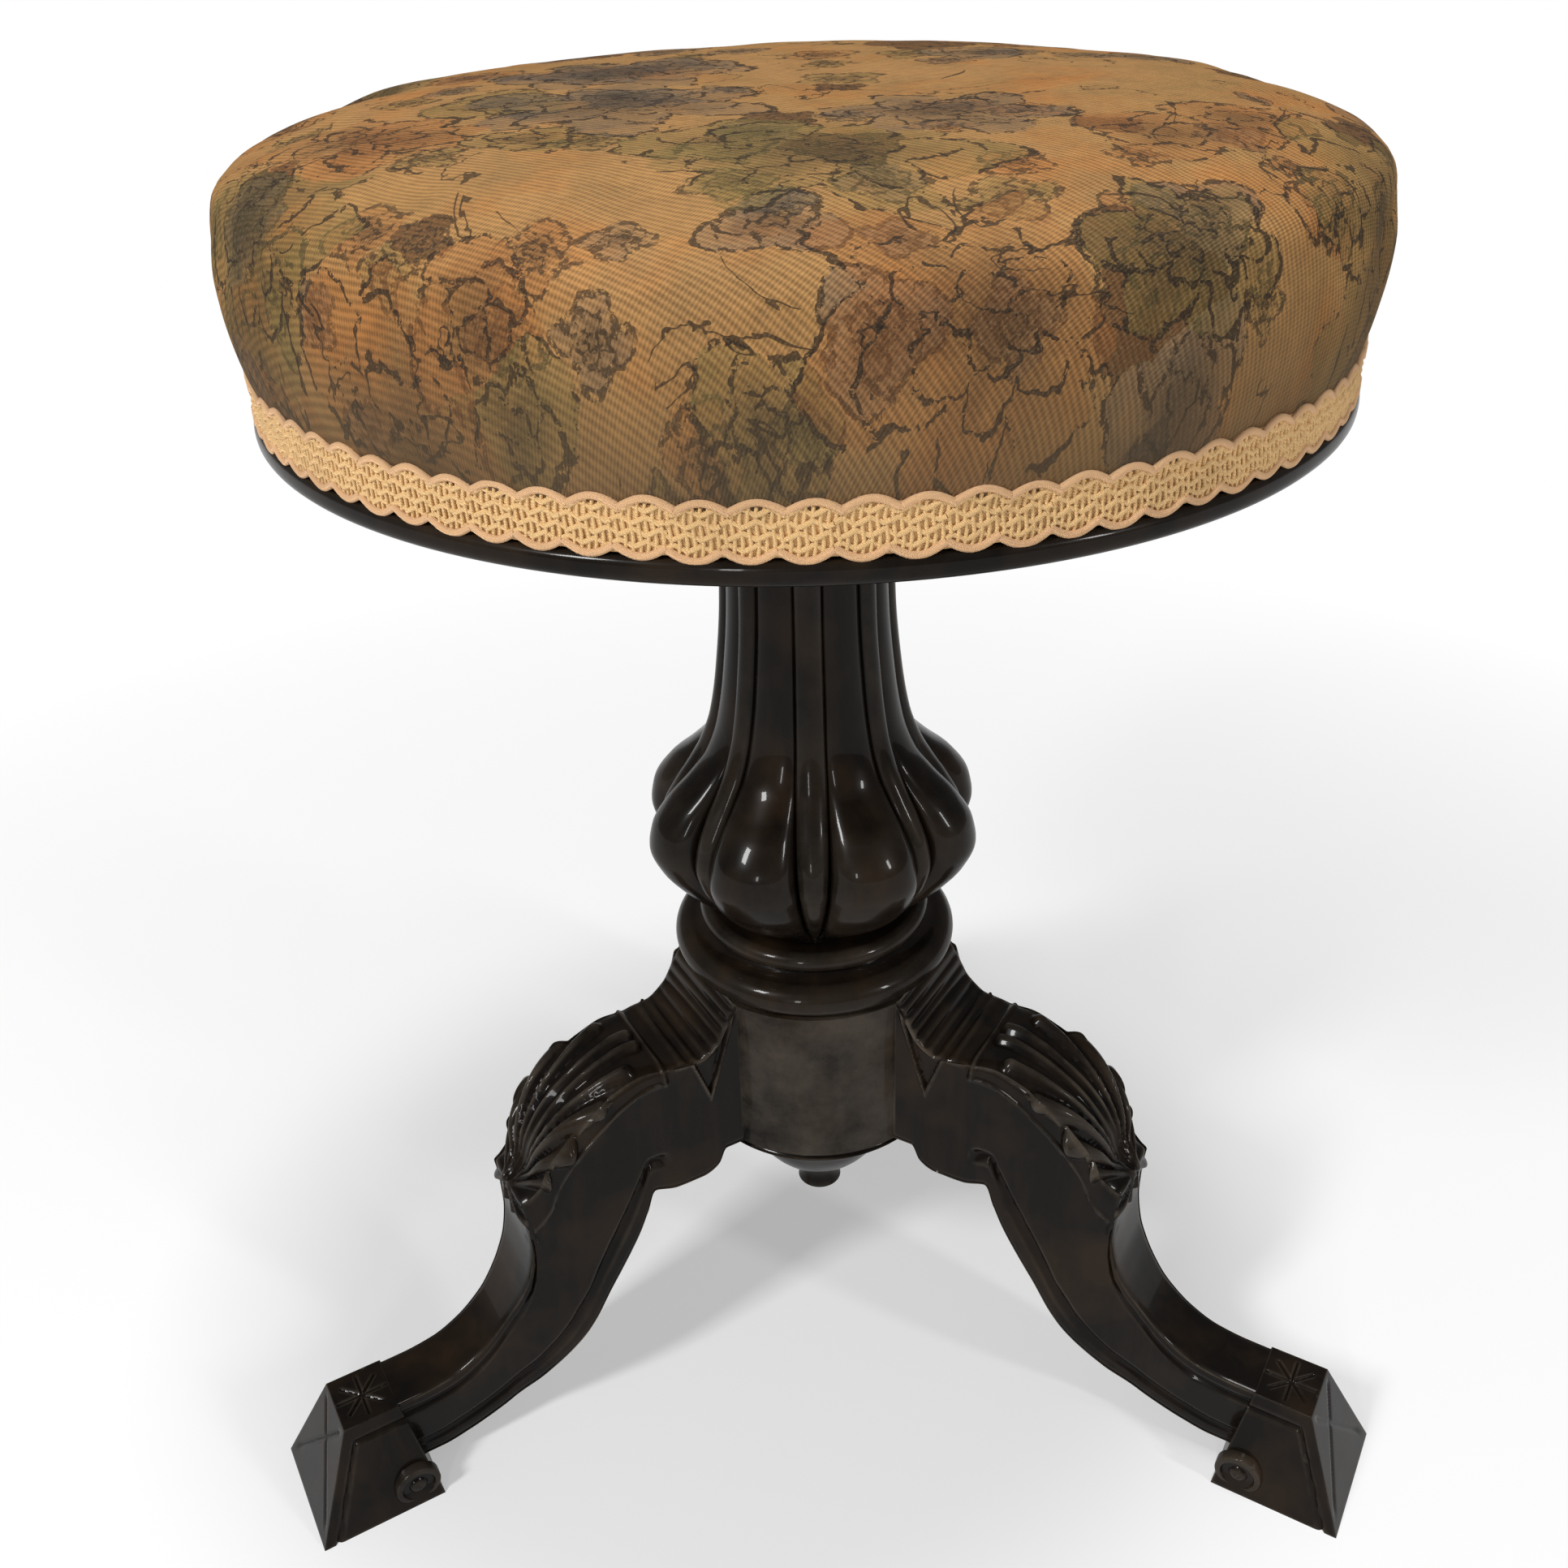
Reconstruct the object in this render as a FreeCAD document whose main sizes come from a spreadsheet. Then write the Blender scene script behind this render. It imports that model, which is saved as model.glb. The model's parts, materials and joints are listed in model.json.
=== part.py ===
# Revolving music stool: a round stuffed seat on an iron screw, in a lobed
# column on three carved cabriole legs. Millimetres. The origin is on the
# floor under the column, +Z is up and -Y is the front, between two legs.
import FreeCAD, Part
import math
import os
import Sketcher

Vector = FreeCAD.Vector
doc = FreeCAD.newDocument("music_stool")

# Driving sizes: name, value, meaning
SIZES = [
    ("glue_gap", 0.05, "radial play of a glued or riveted round fit"),
    ("run_gap", 0.05, "radial play of a turning fit"),
    ("soft_gap", 0.3, "play between layers of upholstery"),
    ("hub_radius", 52, "turned hub that carries the legs"),
    ("hub_bottom", 114, "height of the hub's underside"),
    ("hub_top", 181, "height of the hub's upper face"),
    ("tenon_radius", 20, "round tenon under the column"),
    ("tenon_depth", 45, "how far the tenon enters the hub"),
    ("pendant_spigot_radius", 9, "spigot of the turned pendant"),
    ("pendant_spigot_length", 14, "how far that spigot enters the hub"),
    ("pendant_radius", 47, "pendant's upper moulding"),
    ("pendant_drop", 64, "how far the pendant hangs below the hub"),
    ("pendant_tip_radius", 6.5, "knob at the pendant's end"),
    ("collar_radius", 53.3, "widest torus of the turned collar"),
    ("collar_rise", 14.5, "collar's height up to its bead"),
    ("bead_radius", 40.5, "small bead on the collar"),
    ("bead_rise", 6.5, "height of that bead"),
    ("collar_quirk", 0.8, "step between the torus and the bead"),
    ("column_top", 377, "height of the column's upper face"),
    ("lobe_radius", 61, "widest point of the eight lobes"),
    ("lobe_height", 230, "height of the lobes' widest point"),
    ("shaft_radius", 29.4, "reeded shaft halfway up"),
    ("shaft_taper", 1.2, "how much slimmer the shaft is at its top"),
    ("reed_width", 13, "reed between two lobes, at their widest"),
    ("leg_root_width", 46, "leg where it meets the hub"),
    ("knee_width", 41, "leg across its knee"),
    ("ankle_width", 24, "leg across its ankle"),
    ("shoulder_reach", 57, "how far out the leg's shoulder slopes"),
    ("shoulder_height", 164, "height where that slope ends"),
    ("shoulder_land", 1.5, "flat land on top of the shoulder"),
    ("knee_start", 68, "inner end of the knee's curve"),
    ("knee_start_height", 160, "height of that end"),
    ("knee_reach", 127, "outer end of the knee's curve"),
    ("knee_height", 126, "height of that end"),
    ("ear_reach", 135, "pointed ear below the knee"),
    ("ear_height", 119, "height of the ear"),
    ("shin_height", 88, "height where the ankle's hollow starts"),
    ("instep_reach", 173, "where the ankle runs into the foot"),
    ("foot_height", 42.5, "height of the foot's flat top"),
    ("foot_top_outer", 214, "outer edge of the foot's flat top"),
    ("foot_top_length", 21, "length of the foot's flat top"),
    ("sole_outer", 232.6, "outer end of the sole"),
    ("sole_inner", 185.3, "inner end of the sole"),
    ("sole_width", 50.4, "width of the sole"),
    ("arch_height", 7, "underside of the ankle at the heel"),
    ("crook_reach", 117, "inner side of the leg at mid height"),
    ("crook_height", 45, "height of that point"),
    ("lobe_reach", 84, "outer end of the round lobe under the knee"),
    ("lobe_end_height", 106, "height of that end"),
    ("root_reach", 54, "inner end of that lobe"),
    ("panel_depth", 11, "how far the carved knee panel wraps the side"),
    ("panel_proud", 1.2, "how far the panel stands off the leg"),
    ("roundel_radius", 8.6, "turned roundel on the foot"),
    ("roundel_proud", 2.2, "how far the roundel stands off the foot"),
    ("dowel_radius", 5, "dowels between the legs and the hub"),
    ("dowel_length", 34, "length of a dowel"),
    ("dowel_low", 125, "height of the lower dowels"),
    ("dowel_high", 149, "height of the upper dowels"),
    ("screw_radius", 11, "iron seat screw"),
    ("spigot_radius", 6.5, "reduced lower end of the screw"),
    ("full_rise", 96, "travel of the seat from lowest to highest"),
    ("nut_radius", 15.5, "outside of the nut let into the column"),
    ("nut_length", 50, "length of the nut below its flange"),
    ("nut_flange_radius", 25, "flange on the column's top"),
    ("nut_flange_thick", 5, "thickness of that flange"),
    ("nut_screw_circle", 20.3, "radius of the circle of nut screws"),
    ("nut_screw_radius", 1.7, "shank of a nut screw"),
    ("nut_screw_length", 18, "length of a nut screw"),
    ("well_radius", 15.1, "bore of the column below the nut"),
    ("well_play", 3, "room below the screw when the seat is down"),
    ("washer_radius", 14.2, "stop washer under the screw"),
    ("washer_thick", 4, "thickness of the stop washer"),
    ("washer_play", 0.15, "end play of the stop washer"),
    ("stop_gap", 0.3, "gap between washer and nut at full rise"),
    ("pin_radius", 2, "cross pin that keeps the washer on"),
    ("pin_length", 24, "length of that pin"),
    ("seat_play", 1, "gap between nut and boss at the lowest seat"),
    ("boss_radius", 20, "boss of the iron seat flange"),
    ("boss_length", 13, "length of the boss below the plate"),
    ("plate_radius", 55, "round plate of the seat flange"),
    ("plate_thick", 5, "thickness of that plate"),
    ("boss_sweep", 4, "sweep of the casting from boss to plate"),
    ("metal_chamfer", 1, "chamfer on the edges of iron and brass"),
    ("boss_pin_radius", 3, "rivet through boss and screw"),
    ("plate_screw_circle", 43, "radius of the circle of seat screws"),
    ("plate_screw_radius", 2.2, "shank of a seat screw"),
    ("plate_screw_length", 17, "length of a seat screw"),
    ("board_radius", 159.5, "upper part of the board inside the cover"),
    ("rim_reach", 5.5, "how far the board's moulded edge stands past it"),
    ("rim_thick", 6.5, "thickness of that edge"),
    ("rim_round", 2.4, "chamfer of that edge"),
    ("board_thick", 19, "thickness of the seat board"),
    ("calico_thick", 0.6, "thickness of the calico undercover"),
    ("cover_thick", 1.2, "thickness of the tapestry"),
    ("cushion_swell", 6.5, "how far the sides swell past their foot"),
    ("swell_rise", 40, "height of the widest part above the board"),
    ("crown_rise", 64.5, "height of the crown above the board"),
    ("tack_width", 1.4, "square shank of a tack"),
    ("tack_length", 12, "length of a tack's shank"),
    ("tack_head_radius", 2.8, "round head of a tack"),
    ("tack_head_thick", 0.5, "thickness of that head"),
    ("braid_thick", 1.4, "thickness of the braid"),
    ("braid_width", 12.5, "width of the braid"),
]
LEG_COUNT = 3
LOBE_COUNT = 8
NUT_SCREWS = 3
PLATE_SCREWS = 6
TACKS = 18
FIRST_LEG = 90
LEGS = {"leg_back": 90, "leg_front_left": 210, "leg_front_right": 330}

sheet = doc.addObject("Spreadsheet::Sheet", "Sizes")
for row, (alias, value, meaning) in enumerate(SIZES, start=1):
    sheet.set(f"A{row}", meaning)
    sheet.set(f"B{row}", str(value))
    sheet.setAlias(f"B{row}", alias)
doc.recompute()


class Size:
    """A length, kept as its value and as the words that work it out from the sheet."""

    def __init__(self, value, words):
        self.value = value
        self.words = words

    def __add__(self, other):
        return joined(self, "+", other, self.value + number(other))

    def __sub__(self, other):
        return joined(self, "-", other, self.value - number(other))

    def __mul__(self, other):
        return joined(self, "*", other, self.value * number(other))

    def __truediv__(self, other):
        return joined(self, "/", other, self.value / number(other))

    def __neg__(self):
        return Size(-self.value, f"(0 - {self.words})")


def number(item):
    return item.value if isinstance(item, Size) else item


def words(item):
    return item.words if isinstance(item, Size) else f"{item:.10g}"


def joined(left, sign, right, value):
    return Size(value, f"({words(left)} {sign} {words(right)})")


def root(item):
    return Size(math.sqrt(item.value), f"sqrt({item.words})")


def size(alias):
    return Size(float(sheet.get(alias)), f"Sizes.{alias}")


ZERO = Size(0.0, "0")


def body(name):
    """Starts one piece of the stool."""
    piece = doc.addObject("PartDesign::Body", name)
    piece.Label = name
    piece.AllowCompound = True
    return piece


def datum(piece, role):
    """The body's own plane or axis of that role."""
    return next(item for item in piece.Origin.OriginFeatures if item.Role == role)


def sketch(piece, name, role, offset=None):
    """A sketch on one of the body's planes, moved along its normal by offset."""
    drawing = piece.newObject("Sketcher::SketchObject", f"{piece.Name}_{name}")
    drawing.AttachmentSupport = [(datum(piece, role), "")]
    drawing.MapMode = "FlatFace"
    if offset is not None:
        drawing.AttachmentOffset.Base.z = offset.value
        drawing.setExpression(".AttachmentOffset.Base.z", offset.words)
    return drawing


def fix(drawing, kind, place, length, geometry=None):
    """Adds a measure to the drawing and ties it to the sheet."""
    if geometry is None:
        index = drawing.addConstraint(Sketcher.Constraint(kind, *place, length.value))
    else:
        index = drawing.addConstraint(Sketcher.Constraint(kind, geometry, length.value))
    drawing.setExpression(f"Constraints[{index}]", length.words)


def pin_point(drawing, geometry, end, across, along):
    """Places the end of an edge by its two distances from the origin."""
    for kind, axis, length in (("DistanceX", -2, across), ("DistanceY", -1, along)):
        if length is ZERO:
            drawing.addConstraint(Sketcher.Constraint("PointOnObject", geometry, end, axis))
        else:
            fix(drawing, kind, (-1, 1, geometry, end), length)


def outline(drawing, corners):
    """Draws a closed line through the corners. A corner is across, along and, for an edge
    that leaves it as an arc, a bulge: the arc's height over half its chord. A positive
    bulge swells to the right of the way from that corner to the next."""
    edges = []
    for index, corner in enumerate(corners):
        following = corners[(index + 1) % len(corners)]
        start = Vector(corner[0].value, corner[1].value, 0)
        end = Vector(following[0].value, following[1].value, 0)
        if len(corner) == 2:
            edges.append((drawing.addGeometry(Part.LineSegment(start, end), False), 1, 2))
            continue
        bulge = corner[2]
        if not isinstance(bulge, Size):
            bulge = Size(bulge, words(bulge))
        chord = root((following[0] - corner[0]) * (following[0] - corner[0])
                     + (following[1] - corner[1]) * (following[1] - corner[1]))
        turned_right = bulge.value > 0
        height = bulge if turned_right else -bulge
        radius = chord * (height * height + 1) / (height * 4)
        way = end - start
        aside = Vector(way.y, -way.x, 0) * (1 if turned_right else -1)
        aside.normalize()
        middle = (start + end) * 0.5
        centre = middle + aside * (chord.value * height.value / 2 - radius.value)
        first, last = (start, end) if turned_right else (end, start)
        circle = Part.Circle(centre, Vector(0, 0, 1), radius.value)
        angles = [math.atan2(point.y - centre.y, point.x - centre.x) for point in (first, last)]
        if angles[1] < angles[0]:
            angles[1] += 2 * math.pi
        arc = drawing.addGeometry(Part.ArcOfCircle(circle, angles[0], angles[1]), False)
        edges.append((arc, 1, 2) if turned_right else (arc, 2, 1))
        fix(drawing, "Radius", None, radius, geometry=arc)
    for index, (edge, start, end) in enumerate(edges):
        following = edges[(index + 1) % len(edges)]
        drawing.addConstraint(Sketcher.Constraint("Coincident", edge, end, following[0], following[1]))
    for (edge, start, end), corner in zip(edges, corners):
        pin_point(drawing, edge, start, corner[0], corner[1])


def ring(drawing, across, along, radius):
    """Draws a circle."""
    circle = Part.Circle(Vector(across.value, along.value, 0), Vector(0, 0, 1), radius.value)
    edge = drawing.addGeometry(circle, False)
    pin_point(drawing, edge, 3, across, along)
    fix(drawing, "Radius", None, radius, geometry=edge)


def feature(piece, kind, name, profile):
    made = piece.newObject(f"PartDesign::{kind}", f"{piece.Name}_{name}")
    made.Profile = profile
    profile.Visibility = False
    return made


def turn(piece, name, corners, kind="Revolution"):
    """Turns an outline of radius and height about the upright axis."""
    drawing = sketch(piece, f"{name}_line", "XZ_Plane")
    outline(drawing, corners)
    made = feature(piece, kind, name, drawing)
    made.ReferenceAxis = (drawing, ["V_Axis"])
    made.Angle = 360
    return made


def pad(piece, name, drawing, length, kind="Pad", middle=False, back=False):
    """Pads or pockets a drawing by a length."""
    made = feature(piece, kind, name, drawing)
    made.Length = length.value
    made.setExpression("Length", length.words)
    made.SideType = "Symmetric" if middle else "One side"
    made.Reversed = back
    return made


def around(piece, made, count):
    """Repeats a feature evenly around the upright axis."""
    pattern = piece.newObject("PartDesign::PolarPattern", f"{made.Name}_ring")
    pattern.Originals = [made]
    pattern.Axis = (datum(piece, "Z_Axis"), [""])
    pattern.Angle = 360
    pattern.Occurrences = count
    piece.Tip = pattern
    return pattern


def facing(piece, degrees):
    """Turns a finished piece about the upright axis."""
    piece.Placement = FreeCAD.Placement(Vector(), FreeCAD.Rotation(Vector(0, 0, 1), degrees))


# Heights and distances that several pieces share
hub_radius, hub_bottom, hub_top = size("hub_radius"), size("hub_bottom"), size("hub_top")
glue_gap, run_gap, soft_gap = size("glue_gap"), size("run_gap"), size("soft_gap")
half_root = size("leg_root_width") / 2
facet = root(hub_radius * hub_radius - half_root * half_root)
tenon_radius, tenon_end = size("tenon_radius"), hub_top - size("tenon_depth")
collar_top = hub_top + size("collar_rise")
shoulder = collar_top + size("bead_rise")
column_top = size("column_top")
nut_bottom = column_top - size("nut_length")
nut_top = column_top + size("nut_flange_thick")
boss_bottom = nut_top + size("seat_play")
plate_bottom = boss_bottom + size("boss_length")
board_bottom = plate_bottom + size("plate_thick")
rim_top = board_bottom + size("rim_thick")
board_top = board_bottom + size("board_thick")
washer_top = nut_bottom - size("full_rise") - size("stop_gap")
washer_bottom = washer_top - size("washer_thick")
pin_radius = size("pin_radius")
pin_height = washer_bottom - size("washer_play") - pin_radius
spigot_end = pin_height - pin_radius * 4
screw_radius, spigot_radius = size("screw_radius"), size("spigot_radius")
board_radius = size("board_radius")
rim_radius = board_radius + size("rim_reach")
calico_inside = board_radius + soft_gap
calico_outside = calico_inside + size("calico_thick")
cover_inside = calico_outside + soft_gap
cover_outside = cover_inside + size("cover_thick")
braid_inside = cover_outside + size("tack_head_thick") + soft_gap


def countersunk(radius, foot, length, upright):
    """Outline of a wood screw from its head at foot to its point."""
    way = 1 if upright else -1
    head, slope = radius * 2, radius
    point = foot + length * way
    return [(ZERO, foot), (head, foot), (radius, foot + slope * way),
            (radius, point - radius * (2 * way)), (ZERO, point)]


def hole_outline(radius, foot, length, upright, gap):
    """Outline of the hole for that screw, opened by a gap."""
    way = 1 if upright else -1
    head, slope = radius * 2 + gap, radius
    return [(ZERO, foot - gap * way), (head, foot - gap * way),
            (radius + gap, foot + slope * way), (radius + gap, foot + length * way),
            (ZERO, foot + length * way)]


def offset_turn(piece, name, corners, centre, count, kind="Revolution"):
    """Turns a small outline about an upright line at a distance and repeats it."""
    drawing = sketch(piece, f"{name}_line", "XZ_Plane")
    moved = [(centre if corner[0] is ZERO else centre + corner[0], *corner[1:]) for corner in corners]
    outline(drawing, moved)
    first, last = moved[0], moved[-1]
    axis = drawing.addGeometry(Part.LineSegment(Vector(first[0].value, first[1].value, 0),
                                                Vector(last[0].value, last[1].value, 0)), True)
    drawing.addConstraint(Sketcher.Constraint("Coincident", axis, 1, 0, 1))
    drawing.addConstraint(Sketcher.Constraint("Coincident", axis, 2, len(corners) - 1, 1))
    made = feature(piece, kind, name, drawing)
    made.ReferenceAxis = (drawing, ["Axis0"])
    made.Angle = 360
    return around(piece, made, count)


def dowel_rings(drawing, radius):
    for height in ("dowel_low", "dowel_high"):
        ring(drawing, ZERO, size(height), radius)


def make_hub():
    """Turned hub with three flats for the legs, their dowel holes and two sockets."""
    piece = body("hub_block")
    socket = tenon_radius + glue_gap
    spigot = size("pendant_spigot_radius") + glue_gap
    spigot_top = hub_bottom + size("pendant_spigot_length")
    turn(piece, "drum", [
        (ZERO, tenon_end), (socket, tenon_end), (socket, hub_top), (hub_radius, hub_top),
        (hub_radius, hub_bottom), (spigot, hub_bottom), (spigot, spigot_top), (ZERO, spigot_top)])
    flat = sketch(piece, "flat_line", "XY_Plane", hub_bottom)
    outer = hub_radius + half_root
    outline(flat, [(facet, -half_root), (outer, -half_root), (outer, half_root), (facet, half_root)])
    cut = pad(piece, "flat", flat, hub_top - hub_bottom, kind="Pocket", back=True)
    around(piece, cut, LEG_COUNT)
    depth = size("dowel_length") / 2 + soft_gap
    holes = sketch(piece, "dowel_holes_line", "YZ_Plane", facet)
    dowel_rings(holes, size("dowel_radius") + glue_gap)
    around(piece, pad(piece, "dowel_holes", holes, depth, kind="Pocket"), LEG_COUNT)
    facing(piece, FIRST_LEG)


def make_dowels():
    """Two dowels across the joint of each leg."""
    piece = body("leg_dowels")
    drawing = sketch(piece, "pegs_line", "YZ_Plane", facet)
    dowel_rings(drawing, size("dowel_radius"))
    around(piece, pad(piece, "pegs", drawing, size("dowel_length"), middle=True), LEG_COUNT)
    facing(piece, FIRST_LEG)


def make_pendant():
    """Turned pendant under the hub: a bead, an ogee and a small knob."""
    piece = body("base_pendant")
    outer, drop = size("pendant_radius"), size("pendant_drop")
    tip, spigot = size("pendant_tip_radius"), size("pendant_spigot_radius")
    spigot_top = hub_bottom + size("pendant_spigot_length") - soft_gap
    turn(piece, "drop", [
        (ZERO, spigot_top), (spigot, spigot_top), (spigot, hub_bottom), (outer * 0.96, hub_bottom),
        (outer, hub_bottom - drop * 0.05), (outer * 0.89, hub_bottom - drop * 0.15),
        (outer * 0.8, hub_bottom - drop * 0.32), (outer * 0.5, hub_bottom - drop * 0.6),
        (tip * 2.6, hub_bottom - drop * 0.77), (tip * 1.3, hub_bottom - drop * 0.8),
        (tip * 1.3, hub_bottom - drop * 0.93), (tip * 0.7, hub_bottom - drop), (ZERO, hub_bottom - drop)])


def quarter_round(across, along, radius, first, last, steps):
    """Corners along a round moulding about a centre, between two angles in degrees."""
    corners = []
    for index in range(steps + 1):
        angle = math.radians(first + (last - first) * index / steps)
        cosine, sine = round(math.cos(angle), 6), round(math.sin(angle), 6)
        corners.append((across + radius * cosine, along + radius * sine))
    return corners


def make_collar():
    """Turned collar between hub and column: a torus under a small bead."""
    piece = body("column_collar")
    outer, bead = size("collar_radius"), size("bead_radius")
    hole = tenon_radius + glue_gap
    thick, slim = size("collar_rise") * 0.42, size("bead_rise") / 2
    quirk = size("collar_quirk")
    torus = quarter_round(outer - thick, hub_top + thick, thick, -90, 90, 6)
    small = quarter_round(bead - slim, collar_top + slim, slim, -90, 90, 4)
    turn(piece, "mouldings", [
        (hole, hub_top), *torus, (bead + quirk, collar_top - quirk), (bead - slim, collar_top - quirk),
        *small, (hole, shoulder)])


# Stations of the lobed column. Each has its height, the crest of the lobes, the crest
# of the reeds, the valley beside a reed, and the reed's share of its full width.
def column_stations():
    lobe, level = size("lobe_radius"), size("lobe_height")
    shaft, taper = size("shaft_radius"), size("shaft_taper")
    swell = level - shoulder
    stem = column_top - level
    return [
        (shoulder, lobe * 0.54, lobe * 0.56, lobe * 0.53, 0.24),
        (shoulder + swell * 0.2, lobe * 0.69, lobe * 0.69, lobe * 0.61, 0.55),
        (shoulder + swell * 0.5, lobe * 0.87, lobe * 0.84, lobe * 0.73, 0.82),
        (level - swell * 0.1, lobe * 0.995, lobe * 0.93, lobe * 0.81, 1.0),
        (level + stem * 0.06, lobe * 0.985, lobe * 0.91, lobe * 0.8, 0.98),
        (level + stem * 0.14, lobe * 0.89, lobe * 0.83, lobe * 0.73, 0.89),
        (level + stem * 0.22, lobe * 0.75, lobe * 0.72, lobe * 0.635, 0.8),
        (level + stem * 0.31, shaft * 1.3, shaft * 1.3, shaft * 1.16, 0.74),
        (level + stem * 0.43, shaft * 1.1, shaft * 1.15, shaft * 1.02, 0.68),
        (level + stem * 0.646, shaft * 0.965, shaft * 1.02, shaft * 0.91, 0.65),
        (column_top, shaft * 0.96 - taper, shaft * 1.01 - taper, shaft * 0.91 - taper, 0.65),
    ]


def lobed_ring(drawing, lobe, reed, valley, half_reed):
    """One cross section of the column: round lobes with keeled reeds between them."""
    step = 2 * math.pi / LOBE_COUNT
    inner = root(valley * valley - half_reed * half_reed)
    half_cos, half_sin = math.cos(step / 2), math.sin(step / 2)
    half_chord = inner * half_sin - half_reed * half_cos
    lobe_bulge = (lobe - inner * half_cos - half_reed * half_sin) / half_chord
    corners = []
    for index in range(LOBE_COUNT):
        cosine, sine = math.cos(index * step), math.sin(index * step)
        corners.append((inner * cosine + half_reed * sine, inner * sine - half_reed * cosine))
        corners.append((reed * cosine, reed * sine))
        corners.append((inner * cosine - half_reed * sine, inner * sine + half_reed * cosine, lobe_bulge))
    outline(drawing, corners)


def make_column():
    """Lobed and reeded column with its tenon below and the bore for nut and screw."""
    piece = body("column")
    drawings = []
    for index, (height, lobe, reed, valley, share) in enumerate(column_stations()):
        drawing = sketch(piece, f"section_{index}", "XY_Plane", height)
        lobed_ring(drawing, lobe, reed, valley, size("reed_width") * (share / 2))
        drawings.append(drawing)
    loft = feature(piece, "AdditiveLoft", "lobes", drawings[0])
    loft.Sections = drawings[1:]
    loft.Ruled = True
    tenon = sketch(piece, "tenon_line", "XY_Plane", shoulder)
    ring(tenon, ZERO, ZERO, tenon_radius)
    tenon_length = shoulder - tenon_end - soft_gap
    pad(piece, "tenon", tenon, tenon_length, back=True)
    well, nut_hole = size("well_radius"), size("nut_radius") + glue_gap
    well_end = spigot_end - size("well_play")
    above = column_top + soft_gap
    turn(piece, "bore", [
        (ZERO, well_end), (well, well_end), (well, nut_bottom), (nut_hole, nut_bottom),
        (nut_hole, above), (ZERO, above)], kind="Groove")
    offset_turn(piece, "nut_screw_holes",
                hole_outline(size("nut_screw_radius"), nut_top, size("nut_screw_length"), False, glue_gap),
                size("nut_screw_circle"), NUT_SCREWS, kind="Groove")
    facing(piece, FIRST_LEG)


def leg_outline():
    """Side of a cabriole leg, as reach from the column's axis and height."""
    heel = size("sole_inner")
    return [
        (facet, hub_bottom), (size("root_reach"), hub_bottom, 0.5),
        (size("lobe_reach"), size("lobe_end_height")),
        (size("crook_reach"), size("crook_height"), 0.2),
        (heel, size("arch_height")), (heel, ZERO), (size("sole_outer"), ZERO),
        (size("foot_top_outer"), size("foot_height")), (size("instep_reach"), size("foot_height"), -0.31),
        (size("ear_reach"), size("shin_height")), (size("ear_reach"), size("ear_height")),
        (size("knee_reach"), size("knee_height"), 0.44),
        (size("knee_start"), size("knee_start_height")),
        (size("shoulder_reach"), size("shoulder_height"), -0.12),
        (facet + size("shoulder_land"), hub_top), (facet, hub_top)]


def panel_outline():
    """Raised panel that the knee's carving is cut in."""
    depth, proud = size("panel_depth"), size("panel_proud")
    start, start_height = size("knee_start"), size("knee_start_height")
    end, end_height = size("knee_reach"), size("knee_height")
    return [
        (end + proud, end_height, 0.44), (start - proud, start_height),
        (start + depth * 0.5, start_height - depth * 0.35, -0.34),
        (end - depth * 0.6, end_height - depth * 1.2), (size("ear_reach"), size("ear_height") - depth),
        (size("ear_reach") + proud, size("ear_height"))]


def make_leg(name, degrees):
    """Carved cabriole leg: sawn side, narrowed in plan, with knee panel, foot and roundels."""
    piece = body(name)
    root_width, knee, ankle = size("leg_root_width"), size("knee_width"), size("ankle_width")
    side = sketch(piece, "side_line", "XZ_Plane")
    outline(side, leg_outline())
    pad(piece, "side", side, root_width, middle=True)
    plan = sketch(piece, "plan_line", "XY_Plane")
    past, aside = size("sole_outer") + ankle, root_width
    for way in (1, -1):
        corners = [
            (facet, half_root * way), (size("shoulder_reach"), half_root * way, -0.1 * way),
            (size("knee_start") + root_width / 4, knee * (way / 2)),
            (size("knee_reach") - ankle * 0.6, knee * (way / 2), -0.12 * way),
            (size("ear_reach") + ankle * 0.6, ankle * (way / 2)),
            (past, ankle * (way / 2)), (past, aside * way), (facet, aside * way)]
        outline(plan, corners)
    pad(piece, "plan", plan, hub_top * 2, kind="Pocket", middle=True)
    panel = sketch(piece, "panel_line", "XZ_Plane")
    outline(panel, panel_outline())
    pad(piece, "panel", panel, knee + size("panel_proud") * 2, middle=True)
    half_sole, half_top = size("sole_width") / 2, ankle / 2
    sole = sketch(piece, "sole_line", "XY_Plane")
    outline(sole, [(size("sole_inner"), -half_sole), (size("sole_outer"), -half_sole),
                   (size("sole_outer"), half_sole), (size("sole_inner"), half_sole)])
    top = sketch(piece, "foot_top_line", "XY_Plane", size("foot_height"))
    top_outer = size("foot_top_outer")
    top_inner = top_outer - size("foot_top_length")
    outline(top, [(top_inner, -half_top), (top_outer, -half_top),
                  (top_outer, half_top), (top_inner, half_top)])
    foot = feature(piece, "AdditiveLoft", "foot", sole)
    foot.Sections = [top]
    roundel = sketch(piece, "roundel_line", "XZ_Plane")
    radius = size("roundel_radius")
    ring(roundel, size("sole_inner") + radius, radius + size("roundel_proud") / 2, radius)
    pad(piece, "roundels", roundel, size("sole_width") - size("roundel_proud"), middle=True)
    holes = sketch(piece, "dowel_holes_line", "YZ_Plane", facet)
    dowel_rings(holes, size("dowel_radius") + glue_gap)
    pad(piece, "dowel_holes", holes, size("dowel_length") / 2 + soft_gap, kind="Pocket", back=True)
    facing(piece, degrees)


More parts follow.
